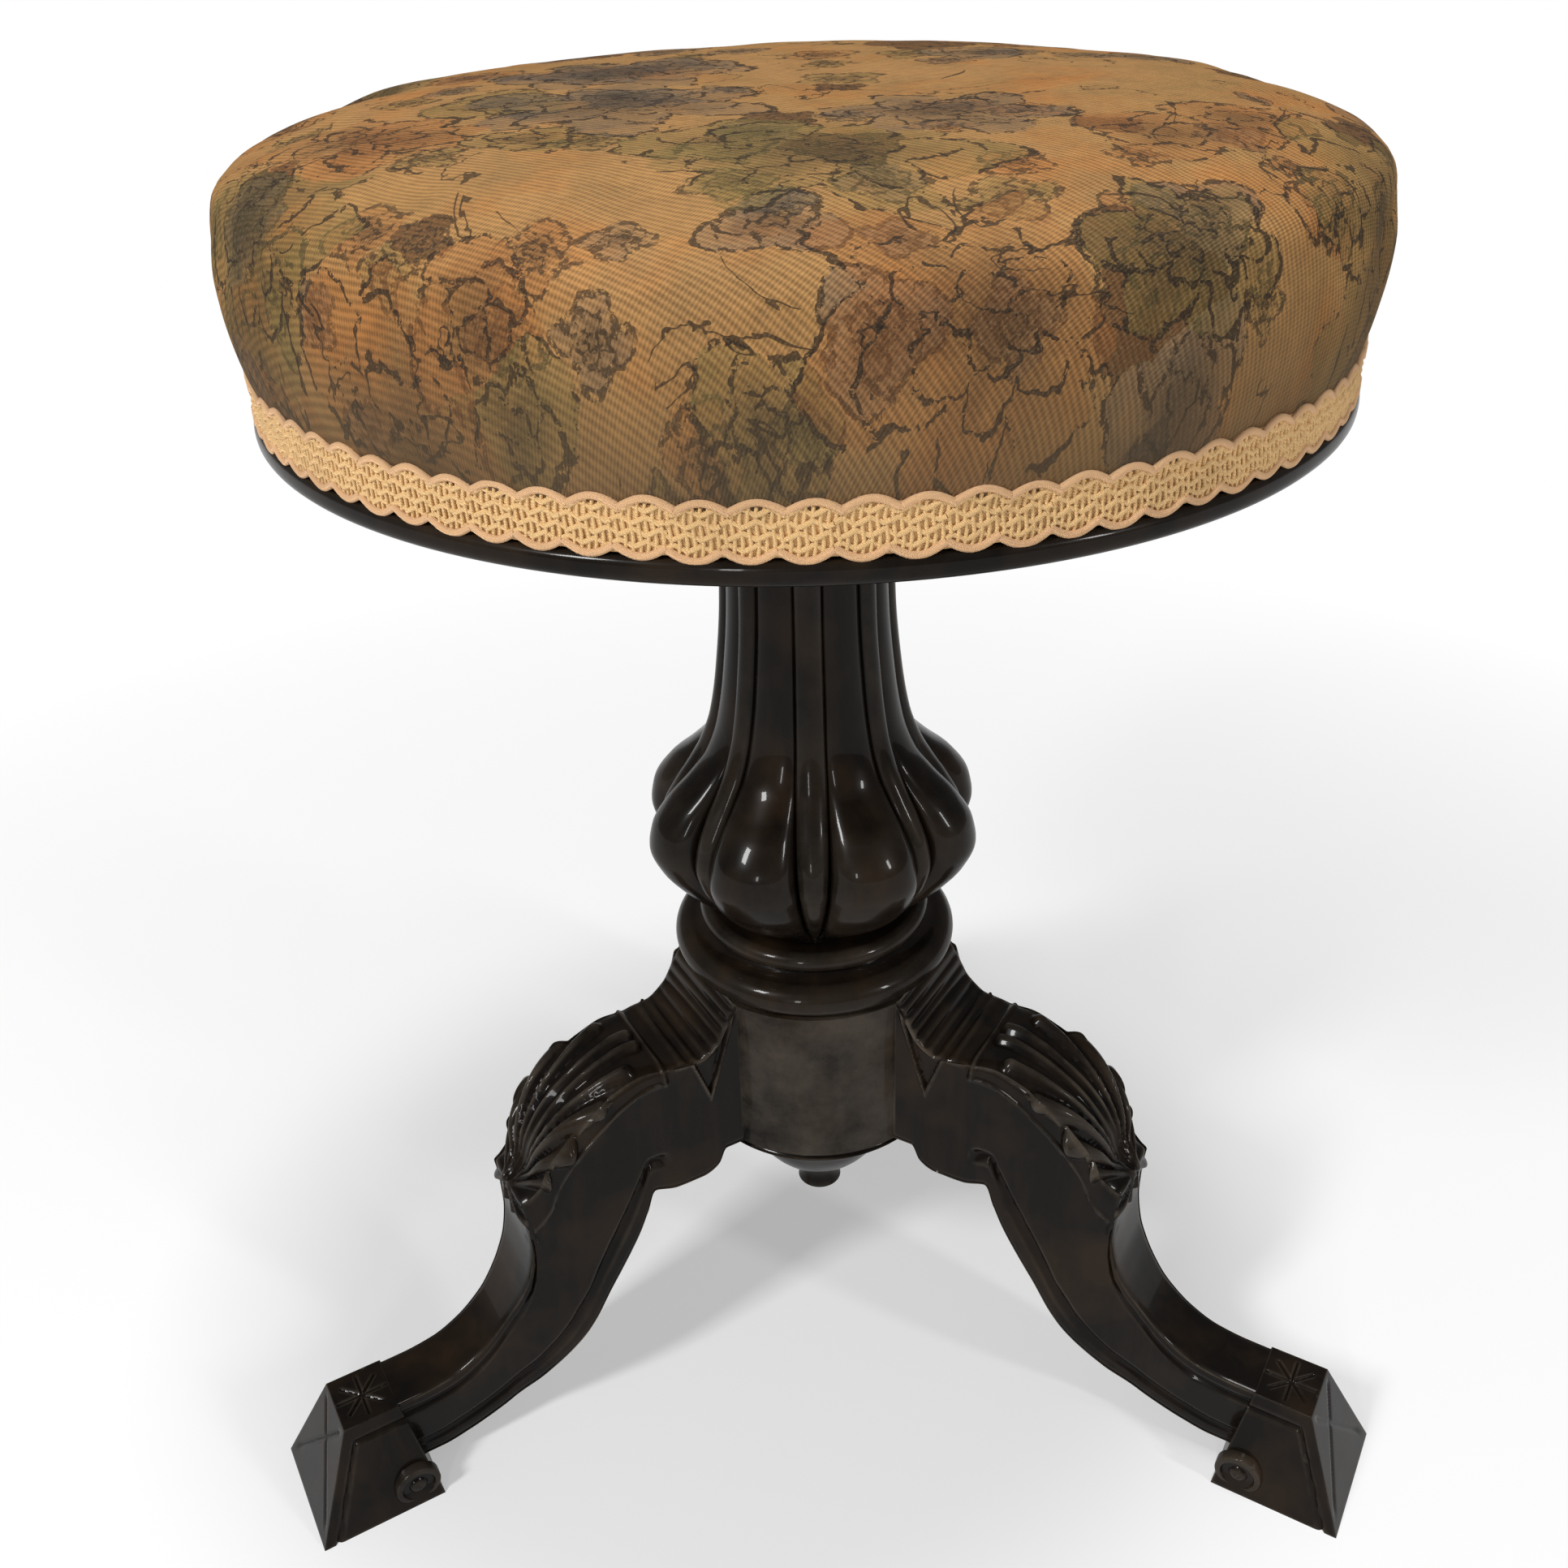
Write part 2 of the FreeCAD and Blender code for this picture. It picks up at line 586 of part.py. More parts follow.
def make_nut():
    """Flanged nut let into the column's top."""
    piece = body("screw_nut")
    bore, flange = screw_radius + run_gap, size("nut_flange_radius")
    bevel = size("metal_chamfer")
    turn(piece, "sleeve", [
        (bore, nut_bottom), (size("nut_radius"), nut_bottom), (size("nut_radius"), column_top),
        (flange, column_top), (flange, nut_top - bevel), (flange - bevel, nut_top), (bore, nut_top)])
    offset_turn(piece, "screw_holes",
                hole_outline(size("nut_screw_radius"), nut_top, size("nut_screw_length"), False, glue_gap),
                size("nut_screw_circle"), NUT_SCREWS, kind="Groove")
    facing(piece, FIRST_LEG)


def make_nut_screws():
    """Countersunk screws that hold the nut."""
    piece = body("nut_screws")
    length = size("nut_screw_length") - soft_gap
    offset_turn(piece, "screws", countersunk(size("nut_screw_radius"), nut_top, length, False),
                size("nut_screw_circle"), NUT_SCREWS)
    facing(piece, FIRST_LEG)


def make_stop():
    """Loose washer that meets the nut when the seat is fully up."""
    piece = body("stop_washer")
    hole = spigot_radius + run_gap
    turn(piece, "ring", [
        (hole, washer_bottom), (size("washer_radius"), washer_bottom),
        (size("washer_radius"), washer_top), (hole, washer_top)])


def cross_hole(piece, name, height, radius, length, kind="Pocket"):
    """A hole or pin across the screw's axis."""
    drawing = sketch(piece, f"{name}_line", "YZ_Plane")
    ring(drawing, ZERO, height, radius)
    pad(piece, name, drawing, length, kind=kind, middle=True)


def make_screw():
    """Iron seat screw with its reduced end below the thread."""
    piece = body("seat_screw")
    step = washer_top + size("washer_play")
    bevel = size("metal_chamfer")
    turn(piece, "spindle", [
        (ZERO, spigot_end), (spigot_radius - bevel, spigot_end), (spigot_radius, spigot_end + bevel),
        (spigot_radius, step), (screw_radius, step), (screw_radius, board_bottom), (ZERO, board_bottom)])
    cross_hole(piece, "pin_hole", pin_height, pin_radius + glue_gap, spigot_radius * 3)
    cross_hole(piece, "rivet_hole", rivet_height(), size("boss_pin_radius") + glue_gap, screw_radius * 3)


def rivet_height():
    return boss_bottom + size("boss_length") / 2


def make_pins():
    """Cross pin under the washer, and the rivet through the boss."""
    lower = body("washer_pin")
    cross_hole(lower, "pin", pin_height, pin_radius, size("pin_length"), kind="Pad")
    upper = body("flange_rivet")
    length = size("boss_radius") * 2 - soft_gap
    cross_hole(upper, "rivet", rivet_height(), size("boss_pin_radius"), length, kind="Pad")


def make_flange():
    """Iron plate and boss that fix the screw to the seat board."""
    piece = body("seat_flange")
    bore, boss, plate = screw_radius + glue_gap, size("boss_radius"), size("plate_radius")
    sweep, bevel = size("boss_sweep"), size("metal_chamfer")
    turn(piece, "casting", [
        (bore, boss_bottom), (boss - bevel, boss_bottom), (boss, boss_bottom + bevel),
        (boss, plate_bottom - sweep), (boss + sweep * 0.3, plate_bottom - sweep * 0.3),
        (boss + sweep, plate_bottom), (plate - bevel, plate_bottom), (plate, plate_bottom + bevel),
        (plate, board_bottom), (bore, board_bottom)])
    cross_hole(piece, "rivet_hole", rivet_height(), size("boss_pin_radius") + glue_gap, boss * 3)
    length = size("plate_screw_length")
    offset_turn(piece, "screw_holes",
                hole_outline(size("plate_screw_radius"), plate_bottom, length, True, glue_gap),
                size("plate_screw_circle"), PLATE_SCREWS, kind="Groove")


def make_flange_screws():
    """Countersunk screws through the plate into the board."""
    piece = body("flange_screws")
    length = size("plate_screw_length") - soft_gap
    offset_turn(piece, "screws", countersunk(size("plate_screw_radius"), plate_bottom, length, True),
                size("plate_screw_circle"), PLATE_SCREWS)


def tack_slots(piece, outside, depth):
    """Square holes for the tacks' shanks, cut inwards from a radius."""
    width = size("tack_width") + glue_gap * 2
    drawing = sketch(piece, "tack_line", "YZ_Plane", outside)
    height = tack_height()
    outline(drawing, [(-width / 2, height - width / 2), (width / 2, height - width / 2),
                      (width / 2, height + width / 2), (-width / 2, height + width / 2)])
    around(piece, pad(piece, "tack_slots", drawing, depth, kind="Pocket"), TACKS)


def tack_height():
    return rim_top + size("braid_width") / 2


def make_board():
    """Seat board with a moulded edge below and a rebate for the covers."""
    piece = body("seat_board")
    curve = size("rim_round")
    turn(piece, "disc", [
        (ZERO, board_bottom), (rim_radius - curve, board_bottom), (rim_radius, board_bottom + curve),
        (rim_radius, rim_top - curve), (rim_radius - curve, rim_top), (board_radius, rim_top),
        (board_radius, board_top), (ZERO, board_top)])
    length = size("plate_screw_length")
    offset_turn(piece, "screw_holes",
                hole_outline(size("plate_screw_radius"), plate_bottom, length, True, glue_gap),
                size("plate_screw_circle"), PLATE_SCREWS, kind="Groove")
    tack_slots(piece, board_radius, size("tack_length"))


def dome(inset):
    """Outer line of the stuffed seat above the board, moved inwards by an inset."""
    foot = cover_outside - inset
    swell = size("cushion_swell")
    widest = foot + swell
    crown = board_top + size("crown_rise") - inset
    swell_height = board_top + size("swell_rise") - inset * 0.3
    rise = crown - swell_height
    shares = ((0.98, 0.43), (0.88, 0.74), (0.663, 0.92), (0.3, 0.99))
    upper = [(widest * across, swell_height + rise * up) for across, up in shares]
    lower = [(foot, board_top), (widest, swell_height)]
    return lower + upper + [(ZERO, crown)]


def shell_corners(outer, inner, skirt):
    """A domed skin: the outer line, the inner line back, and a straight skirt below."""
    return [(outer[0][0], skirt)] + outer + inner[::-1] + [(inner[0][0], skirt)]


def make_stuffing():
    """Domed wad of horsehair on the board."""
    piece = body("hair_stuffing")
    inset = size("cover_thick") + soft_gap * 2 + size("calico_thick")
    foot = dome(inset)
    base = board_top + soft_gap
    turn(piece, "wad", [(ZERO, base), (foot[0][0], base)] + foot[1:])


def make_calico():
    """Thin undercover over the stuffing."""
    piece = body("calico_undercover")
    outer = size("cover_thick") + soft_gap
    inner = outer + size("calico_thick")
    turn(piece, "skin", shell_corners(dome(outer), dome(inner), tack_height() - size("tack_head_radius")))
    tack_slots(piece, calico_outside, calico_outside - board_radius)


def make_cover():
    """Tapestry cover, tacked to the board's edge."""
    piece = body("tapestry_cover")
    skirt = rim_top + soft_gap
    turn(piece, "skin", shell_corners(dome(ZERO), dome(size("cover_thick")), skirt))
    tack_slots(piece, cover_outside, cover_outside - board_radius)


def make_tacks():
    """Tacks through both covers into the board's edge."""
    piece = body("cover_tacks")
    height, half = tack_height(), size("tack_width") / 2
    shank = sketch(piece, "shank_line", "YZ_Plane", cover_outside)
    outline(shank, [(-half, height - half), (half, height - half),
                    (half, height + half), (-half, height + half)])
    pad(piece, "shank", shank, size("tack_length"), back=True)
    first = piece.Tip
    head = sketch(piece, "head_line", "YZ_Plane", cover_outside)
    radius = size("tack_head_radius")
    corners = []
    for index in range(8):
        angle = math.pi / 8 + index * math.pi / 4
        corners.append((radius * math.cos(angle), height + radius * math.sin(angle)))
    outline(head, corners)
    second = pad(piece, "head", head, size("tack_head_thick"))
    pattern = around(piece, first, TACKS)
    pattern.Originals = [first, second]


def make_braid():
    """Band of braid over the tacks."""
    piece = body("gimp_braid")
    outside, foot = braid_inside + size("braid_thick"), rim_top + soft_gap
    top = foot + size("braid_width")
    turn(piece, "band", [(braid_inside, foot), (outside, foot), (outside, top), (braid_inside, top)])


make_hub()
make_dowels()
make_pendant()
make_collar()
make_column()
for leg_name, leg_degrees in LEGS.items():
    make_leg(leg_name, leg_degrees)
make_nut()
make_nut_screws()
make_stop()
make_screw()
make_pins()
make_flange()
make_flange_screws()
make_board()
make_stuffing()
make_calico()
make_cover()
make_tacks()
make_braid()
doc.recompute()

# Every object is sound before anything is written
pieces = [item for item in doc.Objects if item.TypeId == "PartDesign::Body"]
for item in doc.Objects:
    if "Invalid" in item.State or "Error" in item.State:
        raise RuntimeError(f"{item.Name} did not build: {item.State}")
for piece in pieces:
    if piece.Shape.isNull() or not piece.Shape.isValid() or not piece.Shape.Solids:
        raise RuntimeError(f"{piece.Label} has no sound shape")

os.makedirs("parts", exist_ok=True)
for piece in pieces:
    piece.Shape.exportStep(f"parts/{piece.Label}.step")
    print(f"{piece.Label}: {len(piece.Shape.Solids)} solids, {piece.Shape.Volume / 1000:.1f} cm3")
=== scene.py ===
"""Looks of a revolving music stool: a tapestry seat on an iron screw, in a lobed column on
three carved cabriole legs. Metres, +Z up, -Y the front, the origin on the floor."""

import json
import math

import bmesh
import bpy
import numpy as np
from bpy.props import FloatProperty, FloatVectorProperty, IntProperty, PointerProperty
from mathutils import Matrix, Vector

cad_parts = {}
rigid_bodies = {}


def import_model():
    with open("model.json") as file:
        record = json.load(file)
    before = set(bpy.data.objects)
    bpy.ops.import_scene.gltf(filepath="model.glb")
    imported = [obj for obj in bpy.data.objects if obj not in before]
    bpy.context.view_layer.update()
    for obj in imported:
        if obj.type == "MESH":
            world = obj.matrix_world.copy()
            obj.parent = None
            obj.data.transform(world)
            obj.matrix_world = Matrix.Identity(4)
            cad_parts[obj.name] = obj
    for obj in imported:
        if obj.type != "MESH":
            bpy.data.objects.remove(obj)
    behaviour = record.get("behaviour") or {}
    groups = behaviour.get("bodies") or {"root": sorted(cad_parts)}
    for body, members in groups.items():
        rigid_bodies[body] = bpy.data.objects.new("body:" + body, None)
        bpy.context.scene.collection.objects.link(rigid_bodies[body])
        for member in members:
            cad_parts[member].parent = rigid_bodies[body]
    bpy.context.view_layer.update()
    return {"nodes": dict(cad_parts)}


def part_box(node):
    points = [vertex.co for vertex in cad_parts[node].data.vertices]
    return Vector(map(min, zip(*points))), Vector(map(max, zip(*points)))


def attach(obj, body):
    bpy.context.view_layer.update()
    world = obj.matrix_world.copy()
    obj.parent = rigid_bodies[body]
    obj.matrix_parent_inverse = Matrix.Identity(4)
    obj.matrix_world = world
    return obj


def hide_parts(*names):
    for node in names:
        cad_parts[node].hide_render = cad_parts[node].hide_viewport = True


bl_info = {
    "name": "Music stool",
    "version": (1, 0, 0),
    "blender": (4, 5, 0),
    "location": "View3D > Sidebar > Stool",
    "description": "Dresses the packed model of a revolving music stool",
    "category": "Object",
}

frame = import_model()

MM = 0.001
LEGS = {"front_left": 210.0, "front_right": 330.0, "back": 90.0}
LOBE_CREST = 62.4 * MM
# Foot, in millimetres: reach of its inner and outer faces and half its width, at the sole and on top
SOLE_INNER, SOLE_OUTER, SOLE_HALF = 185.3, 232.6, 25.2
TOP_INNER, TOP_OUTER, TOP_HALF = 193.0, 214.0, 12.0
FOOT_HEIGHT = 42.5
ROUNDEL_RADIUS, ROUNDEL_HEIGHT = 8.8, 9.0
# Lamps: name, place in metres, width and height, watts
LAMPS = [("key_lamp", (-1.1, -1.0, 1.5), (0.26, 0.4), 25),
         ("side_lamp", (1.3, -0.9, 1.0), (0.14, 0.34), 8),
         ("low_lamp", (-0.4, -1.7, 0.7), (0.12, 0.34), 4),
         ("top_lamp", (0.15, 0.0, 2.1), (0.45, 0.35), 20)]
WORLD_STRENGTH = 0.22
# Camera: metres from the column and over the floor, radians of tilt, millimetres of lens and sensor
CAMERA_AWAY, CAMERA_HEIGHT = 0.47635, 0.54265
CAMERA_PITCH, CAMERA_ROLL, CAMERA_YAW = 0.552, -0.0324, -0.0209
LENS, SENSOR = 35.18, 36.0


def low(node):
    """Lowest height of a node."""
    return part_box(node)[0].z


def high(node):
    """Highest height of a node."""
    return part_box(node)[1].z


def wide(node):
    """Radius of a round node."""
    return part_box(node)[1].x


# Sizes and colours

class StoolSizes(bpy.types.PropertyGroup):
    lobe_radius: FloatProperty(
        name="Lobes", description="Radius over the crests of the column's lobes", default=LOBE_CREST,
        unit="LENGTH")
    lobe_count: IntProperty(name="Lobe count", description="Lobes round the column", default=8)
    thread_pitch: FloatProperty(
        name="Thread pitch", description="Rise of the seat in one turn",
        default=8.0 * MM, unit="LENGTH")
    leaf_height: FloatProperty(
        name="Leaf height", description="Height of the carved leaf over its ground", default=2.6 * MM,
        unit="LENGTH")
    scallops: IntProperty(name="Scallops", description="Scallops round the braid", default=83)
    yarn: FloatProperty(
        name="Braid yarn", description="Thickness of the braid's outer cord",
        default=2.0 * MM, unit="LENGTH")
    rib_pitch: FloatProperty(
        name="Rib pitch", description="Distance between the tapestry's ribs",
        default=1.9 * MM, unit="LENGTH")
    flower_pitch: FloatProperty(
        name="Flower pitch", description="Distance between the woven flowers",
        default=92.0 * MM, unit="LENGTH")


class StoolColours(bpy.types.PropertyGroup):
    wood: FloatVectorProperty(
        name="Ebonised wood", description="Stained and polished wood", subtype="COLOR",
        default=(0.0050, 0.0038, 0.0030))
    worn_wood: FloatVectorProperty(
        name="Worn wood", description="Where the stain is rubbed through", subtype="COLOR",
        default=(0.034, 0.019, 0.009))
    rubbed: FloatVectorProperty(
        name="Rubbed polish", description="Greyed polish on high places", subtype="COLOR",
        default=(0.070, 0.056, 0.042))
    ground: FloatVectorProperty(
        name="Tapestry ground", description="Golden tan ground of the tapestry", subtype="COLOR",
        default=(0.345, 0.188, 0.064))
    rust: FloatVectorProperty(
        name="Rust", description="Rust coloured petals", subtype="COLOR", default=(0.320, 0.125, 0.038))
    slate: FloatVectorProperty(
        name="Slate", description="Grey blue petals", subtype="COLOR", default=(0.105, 0.088, 0.072))
    olive: FloatVectorProperty(
        name="Olive", description="Olive leaves", subtype="COLOR", default=(0.170, 0.130, 0.042))
    ink: FloatVectorProperty(
        name="Outline", description="Dark outlines and shadows of the pattern", subtype="COLOR",
        default=(0.018, 0.015, 0.013))
    braid: FloatVectorProperty(
        name="Braid", description="Straw coloured braid", subtype="COLOR",
        default=(0.930, 0.600, 0.270))
    braid_cord: FloatVectorProperty(
        name="Braid cord", description="Pinkish outer cord of the braid", subtype="COLOR",
        default=(0.930, 0.560, 0.290))
    floor: FloatVectorProperty(
        name="Floor", description="Pale floor", subtype="COLOR", default=(0.80, 0.80, 0.80))


# Modelling helpers

def deselect():
    """Nothing selected, so that an operator acts only on the new piece."""
    for item in bpy.context.selected_objects:
        item.select_set(False)


def activate(piece):
    """Only this piece selected, and active."""
    deselect()
    piece.select_set(True)
    bpy.context.view_layer.objects.active = piece


def named(name):
    """The piece just added, under its own name."""
    piece = bpy.context.object
    piece.name = name
    piece.data.name = name
    return piece


def mode(name):
    bpy.ops.object.mode_set(mode=name)


def points(piece):
    """The mesh's points as an array."""
    flat = np.empty(len(piece.data.vertices) * 3)
    piece.data.vertices.foreach_get("co", flat)
    return flat.reshape(-1, 3)


def set_points(piece, array):
    """Moves the mesh's points to an array of places."""
    piece.data.vertices.foreach_set("co", np.asarray(array, float).ravel())
    piece.data.update()


def settle(piece, body, slot, *nodes, angle=35.0):
    """Bakes the place into the mesh, turns the faces outwards and hands the piece to its body."""
    activate(piece)
    bpy.ops.object.transform_apply(location=True, rotation=True, scale=True)
    mode("EDIT")
    bpy.ops.mesh.select_all(action="SELECT")
    bpy.ops.mesh.remove_doubles(threshold=1e-6)
    bpy.ops.mesh.normals_make_consistent(inside=False)
    mode("OBJECT")
    bpy.ops.object.shade_smooth_by_angle(angle=math.radians(angle))
    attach(piece, body)
    if nodes:
        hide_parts(*nodes)
    return piece


def flow(knots, values, at):
    """A smooth line through values at the knots that never swings past them."""
    knots, values, at = (np.asarray(item, float) for item in (knots, values, at))
    step = np.diff(knots)
    slope = np.diff(values) / step
    bend = np.zeros(len(knots))
    same = slope[:-1] * slope[1:] > 0
    bend[1:-1][same] = 2 * slope[:-1][same] * slope[1:][same] / (slope[:-1][same] + slope[1:][same])
    bend[0], bend[-1] = slope[0], slope[-1]
    place = np.clip(np.searchsorted(knots, at, side="right") - 1, 0, len(step) - 1)
    share = (at - knots[place]) / step[place]
    two, three = share ** 2, share ** 3
    return ((2 * three - 3 * two + 1) * values[place] + (3 * two - 2 * three) * values[place + 1]
            + step[place] * ((three - 2 * two + share) * bend[place] + (three - two) * bend[place + 1]))


def bump(distance, half_width):
    """A rounded ridge: 1 on its line, 0 at half_width and beyond."""
    share = np.clip(np.abs(distance) / half_width, 0, 1)
    return np.cos(share * math.pi / 2) ** 2


def step_up(value, edge, soft):
    """0 below the edge, 1 above it, over a soft width."""
    share = np.clip((value - edge) / soft + 0.5, 0, 1)
    return share * share * (3 - 2 * share)


def bow(start, end, bulge, count):
    """Points on an arc of radius and height from start to end, without the start."""
    (r0, z0), (r1, z1) = start, end
    chord = math.hypot(r1 - r0, z1 - z0)
    radius = chord * (1 + bulge * bulge) / (4 * abs(bulge))
    sign = 1 if bulge > 0 else -1
    mid = ((r0 + r1) / 2, (z0 + z1) / 2)
    aside = ((z1 - z0) / chord * sign, -(r1 - r0) / chord * sign)
    back = radius - chord * abs(bulge) / 2
    centre = (mid[0] - aside[0] * back, mid[1] - aside[1] * back)
    first = math.atan2(z0 - centre[1], r0 - centre[0])
    last = math.atan2(z1 - centre[1], r1 - centre[0])
    turn = (last - first) % (2 * math.pi)
    if turn > math.pi:
        turn -= 2 * math.pi
    return [(centre[0] + radius * math.cos(first + turn * k / count),
             centre[1] + radius * math.sin(first + turn * k / count)) for k in range(1, count + 1)]


def turned(name, profile, sides=128):
    """Turns a profile of (radius, height): a circle, extruded and scaled ring by ring."""
    radius, height = profile[0]
    deselect()
    bpy.ops.mesh.primitive_circle_add(vertices=sides, radius=max(radius, 1e-5), location=(0, 0, 0))
    piece = named(name)
    mode("EDIT")
    bpy.ops.mesh.select_all(action="SELECT")
    bpy.ops.transform.translate(value=(0, 0, height))
    for next_radius, next_height in profile[1:]:
        share = max(next_radius, 1e-5) / max(radius, 1e-5)
        bpy.ops.mesh.extrude_edges_move(TRANSFORM_OT_translate={"value": (0, 0, next_height - height)})
        bpy.ops.transform.resize(value=(share, share, 1), center_override=(0, 0, next_height))
        radius, height = next_radius, next_height
    mode("OBJECT")
    return piece


def copied(piece, name):
    """A copy with its own mesh."""
    activate(piece)
    bpy.ops.object.duplicate(linked=False)
    return named(name)


# Shader groups

def new_group(name, inputs, outputs):
    """A shader group with its sockets, and the nodes at both of its ends."""
    group = bpy.data.node_groups.new(name, "ShaderNodeTree")
    for label, kind, default in inputs:
        socket = group.interface.new_socket(label, in_out="INPUT", socket_type=kind)
        if default is not None:
            socket.default_value = default
    for label, kind in outputs:
        group.interface.new_socket(label, in_out="OUTPUT", socket_type=kind)
    return group, group.nodes.new("NodeGroupInput"), group.nodes.new("NodeGroupOutput")


class Tree:
    """Short ways to add and join shader nodes."""

    def __init__(self, tree):
        self.tree = tree

    def add(self, kind, **values):
        node = self.tree.nodes.new(f"ShaderNode{kind}")
        for key, value in values.items():
            if key.startswith("in_"):
                label = key[3:]
                label = int(label) if label.isdigit() else label.replace("_", " ")
                self.feed(node.inputs[label], value)
            else:
                setattr(node, key, value)
        return node

    def feed(self, socket, value):
        if isinstance(value, bpy.types.NodeSocket):
            self.tree.links.new(value, socket)
        elif isinstance(value, (tuple, list)) and len(value) == 3 and socket.type == "RGBA":
            socket.default_value = (*value, 1.0)
        else:
            socket.default_value = value

    def math(self, operation, *values, clamp=False):
        node = self.add("Math", operation=operation, use_clamp=clamp)
        for index, value in enumerate(values):
            self.feed(node.inputs[index], value)
        return node.outputs[0]

    def mix(self, share, first, second, blend="MIX"):
        node = self.add("Mix", data_type="RGBA", blend_type=blend)
        self.feed(node.inputs[0], share)
        self.feed(node.inputs[6], first)
        self.feed(node.inputs[7], second)
        return node.outputs[2]

    def span(self, value, low_end, high_end, low_to=0.0, high_to=1.0):
        node = self.add("MapRange", in_Value=value, in_From_Min=low_end, in_From_Max=high_end,
                        in_To_Min=low_to, in_To_Max=high_to)
        return node.outputs[0]

    def noise(self, place, scale, detail=3.0, roughness=0.5, distortion=0.0):
        return self.add("TexNoise", in_Vector=place, in_Scale=scale, in_Detail=detail,
                        in_Roughness=roughness, in_Distortion=distortion).outputs[0]

    def group(self, group, **values):
        node = self.tree.nodes.new("ShaderNodeGroup")
        node.node_tree = group
        for label, value in values.items():
            self.feed(node.inputs[label.replace("_", " ")], value)
        return node.outputs


def grain_group():
    """Fine grain of polished wood: a streaky mask and a slight unevenness."""
    group, given, out = new_group("wood_grain", [
        ("Place", "NodeSocketVector", None), ("Fineness", "NodeSocketFloat", 60.0),
        ("Stretch", "NodeSocketVector", (1.0, 1.0, 0.12))],
        [("Streaks", "NodeSocketFloat"), ("Swell", "NodeSocketFloat")])
    tree = Tree(group)
    stretched = tree.add("VectorMath", operation="MULTIPLY", in_0=given.outputs[0],
                         in_1=given.outputs[2])
    streaks = tree.noise(stretched.outputs[0], given.outputs[1], 6.0, 0.62, 0.4)
    swell = tree.noise(given.outputs[0], tree.math("MULTIPLY", given.outputs[1], 0.35), 3.0)
    tree.feed(out.inputs[0], streaks)
    tree.feed(out.inputs[1], swell)
    return group


def wear_group():
    """Rubbed high edges and darkening in hollows, from the shape's own curvature."""
    group, given, out = new_group("edge_wear", [
        ("Place", "NodeSocketVector", None), ("Amount", "NodeSocketFloat", 0.5),
        ("Patches", "NodeSocketFloat", 25.0)],
        [("Rubbed", "NodeSocketFloat"), ("Hollow", "NodeSocketFloat")])
    tree = Tree(group)
    pointed = tree.add("NewGeometry").outputs["Pointiness"]
    patches = tree.noise(given.outputs[0], given.outputs[2], 5.0, 0.65)
    high_part = tree.span(pointed, 0.505, 0.56)
    rubbed = tree.math("MULTIPLY", high_part, tree.span(patches, 0.35, 0.65))
    rubbed = tree.math("MULTIPLY", rubbed, given.outputs[1], clamp=True)
    tree.feed(out.inputs[0], rubbed)
    tree.feed(out.inputs[1], tree.span(pointed, 0.495, 0.44))
    return group


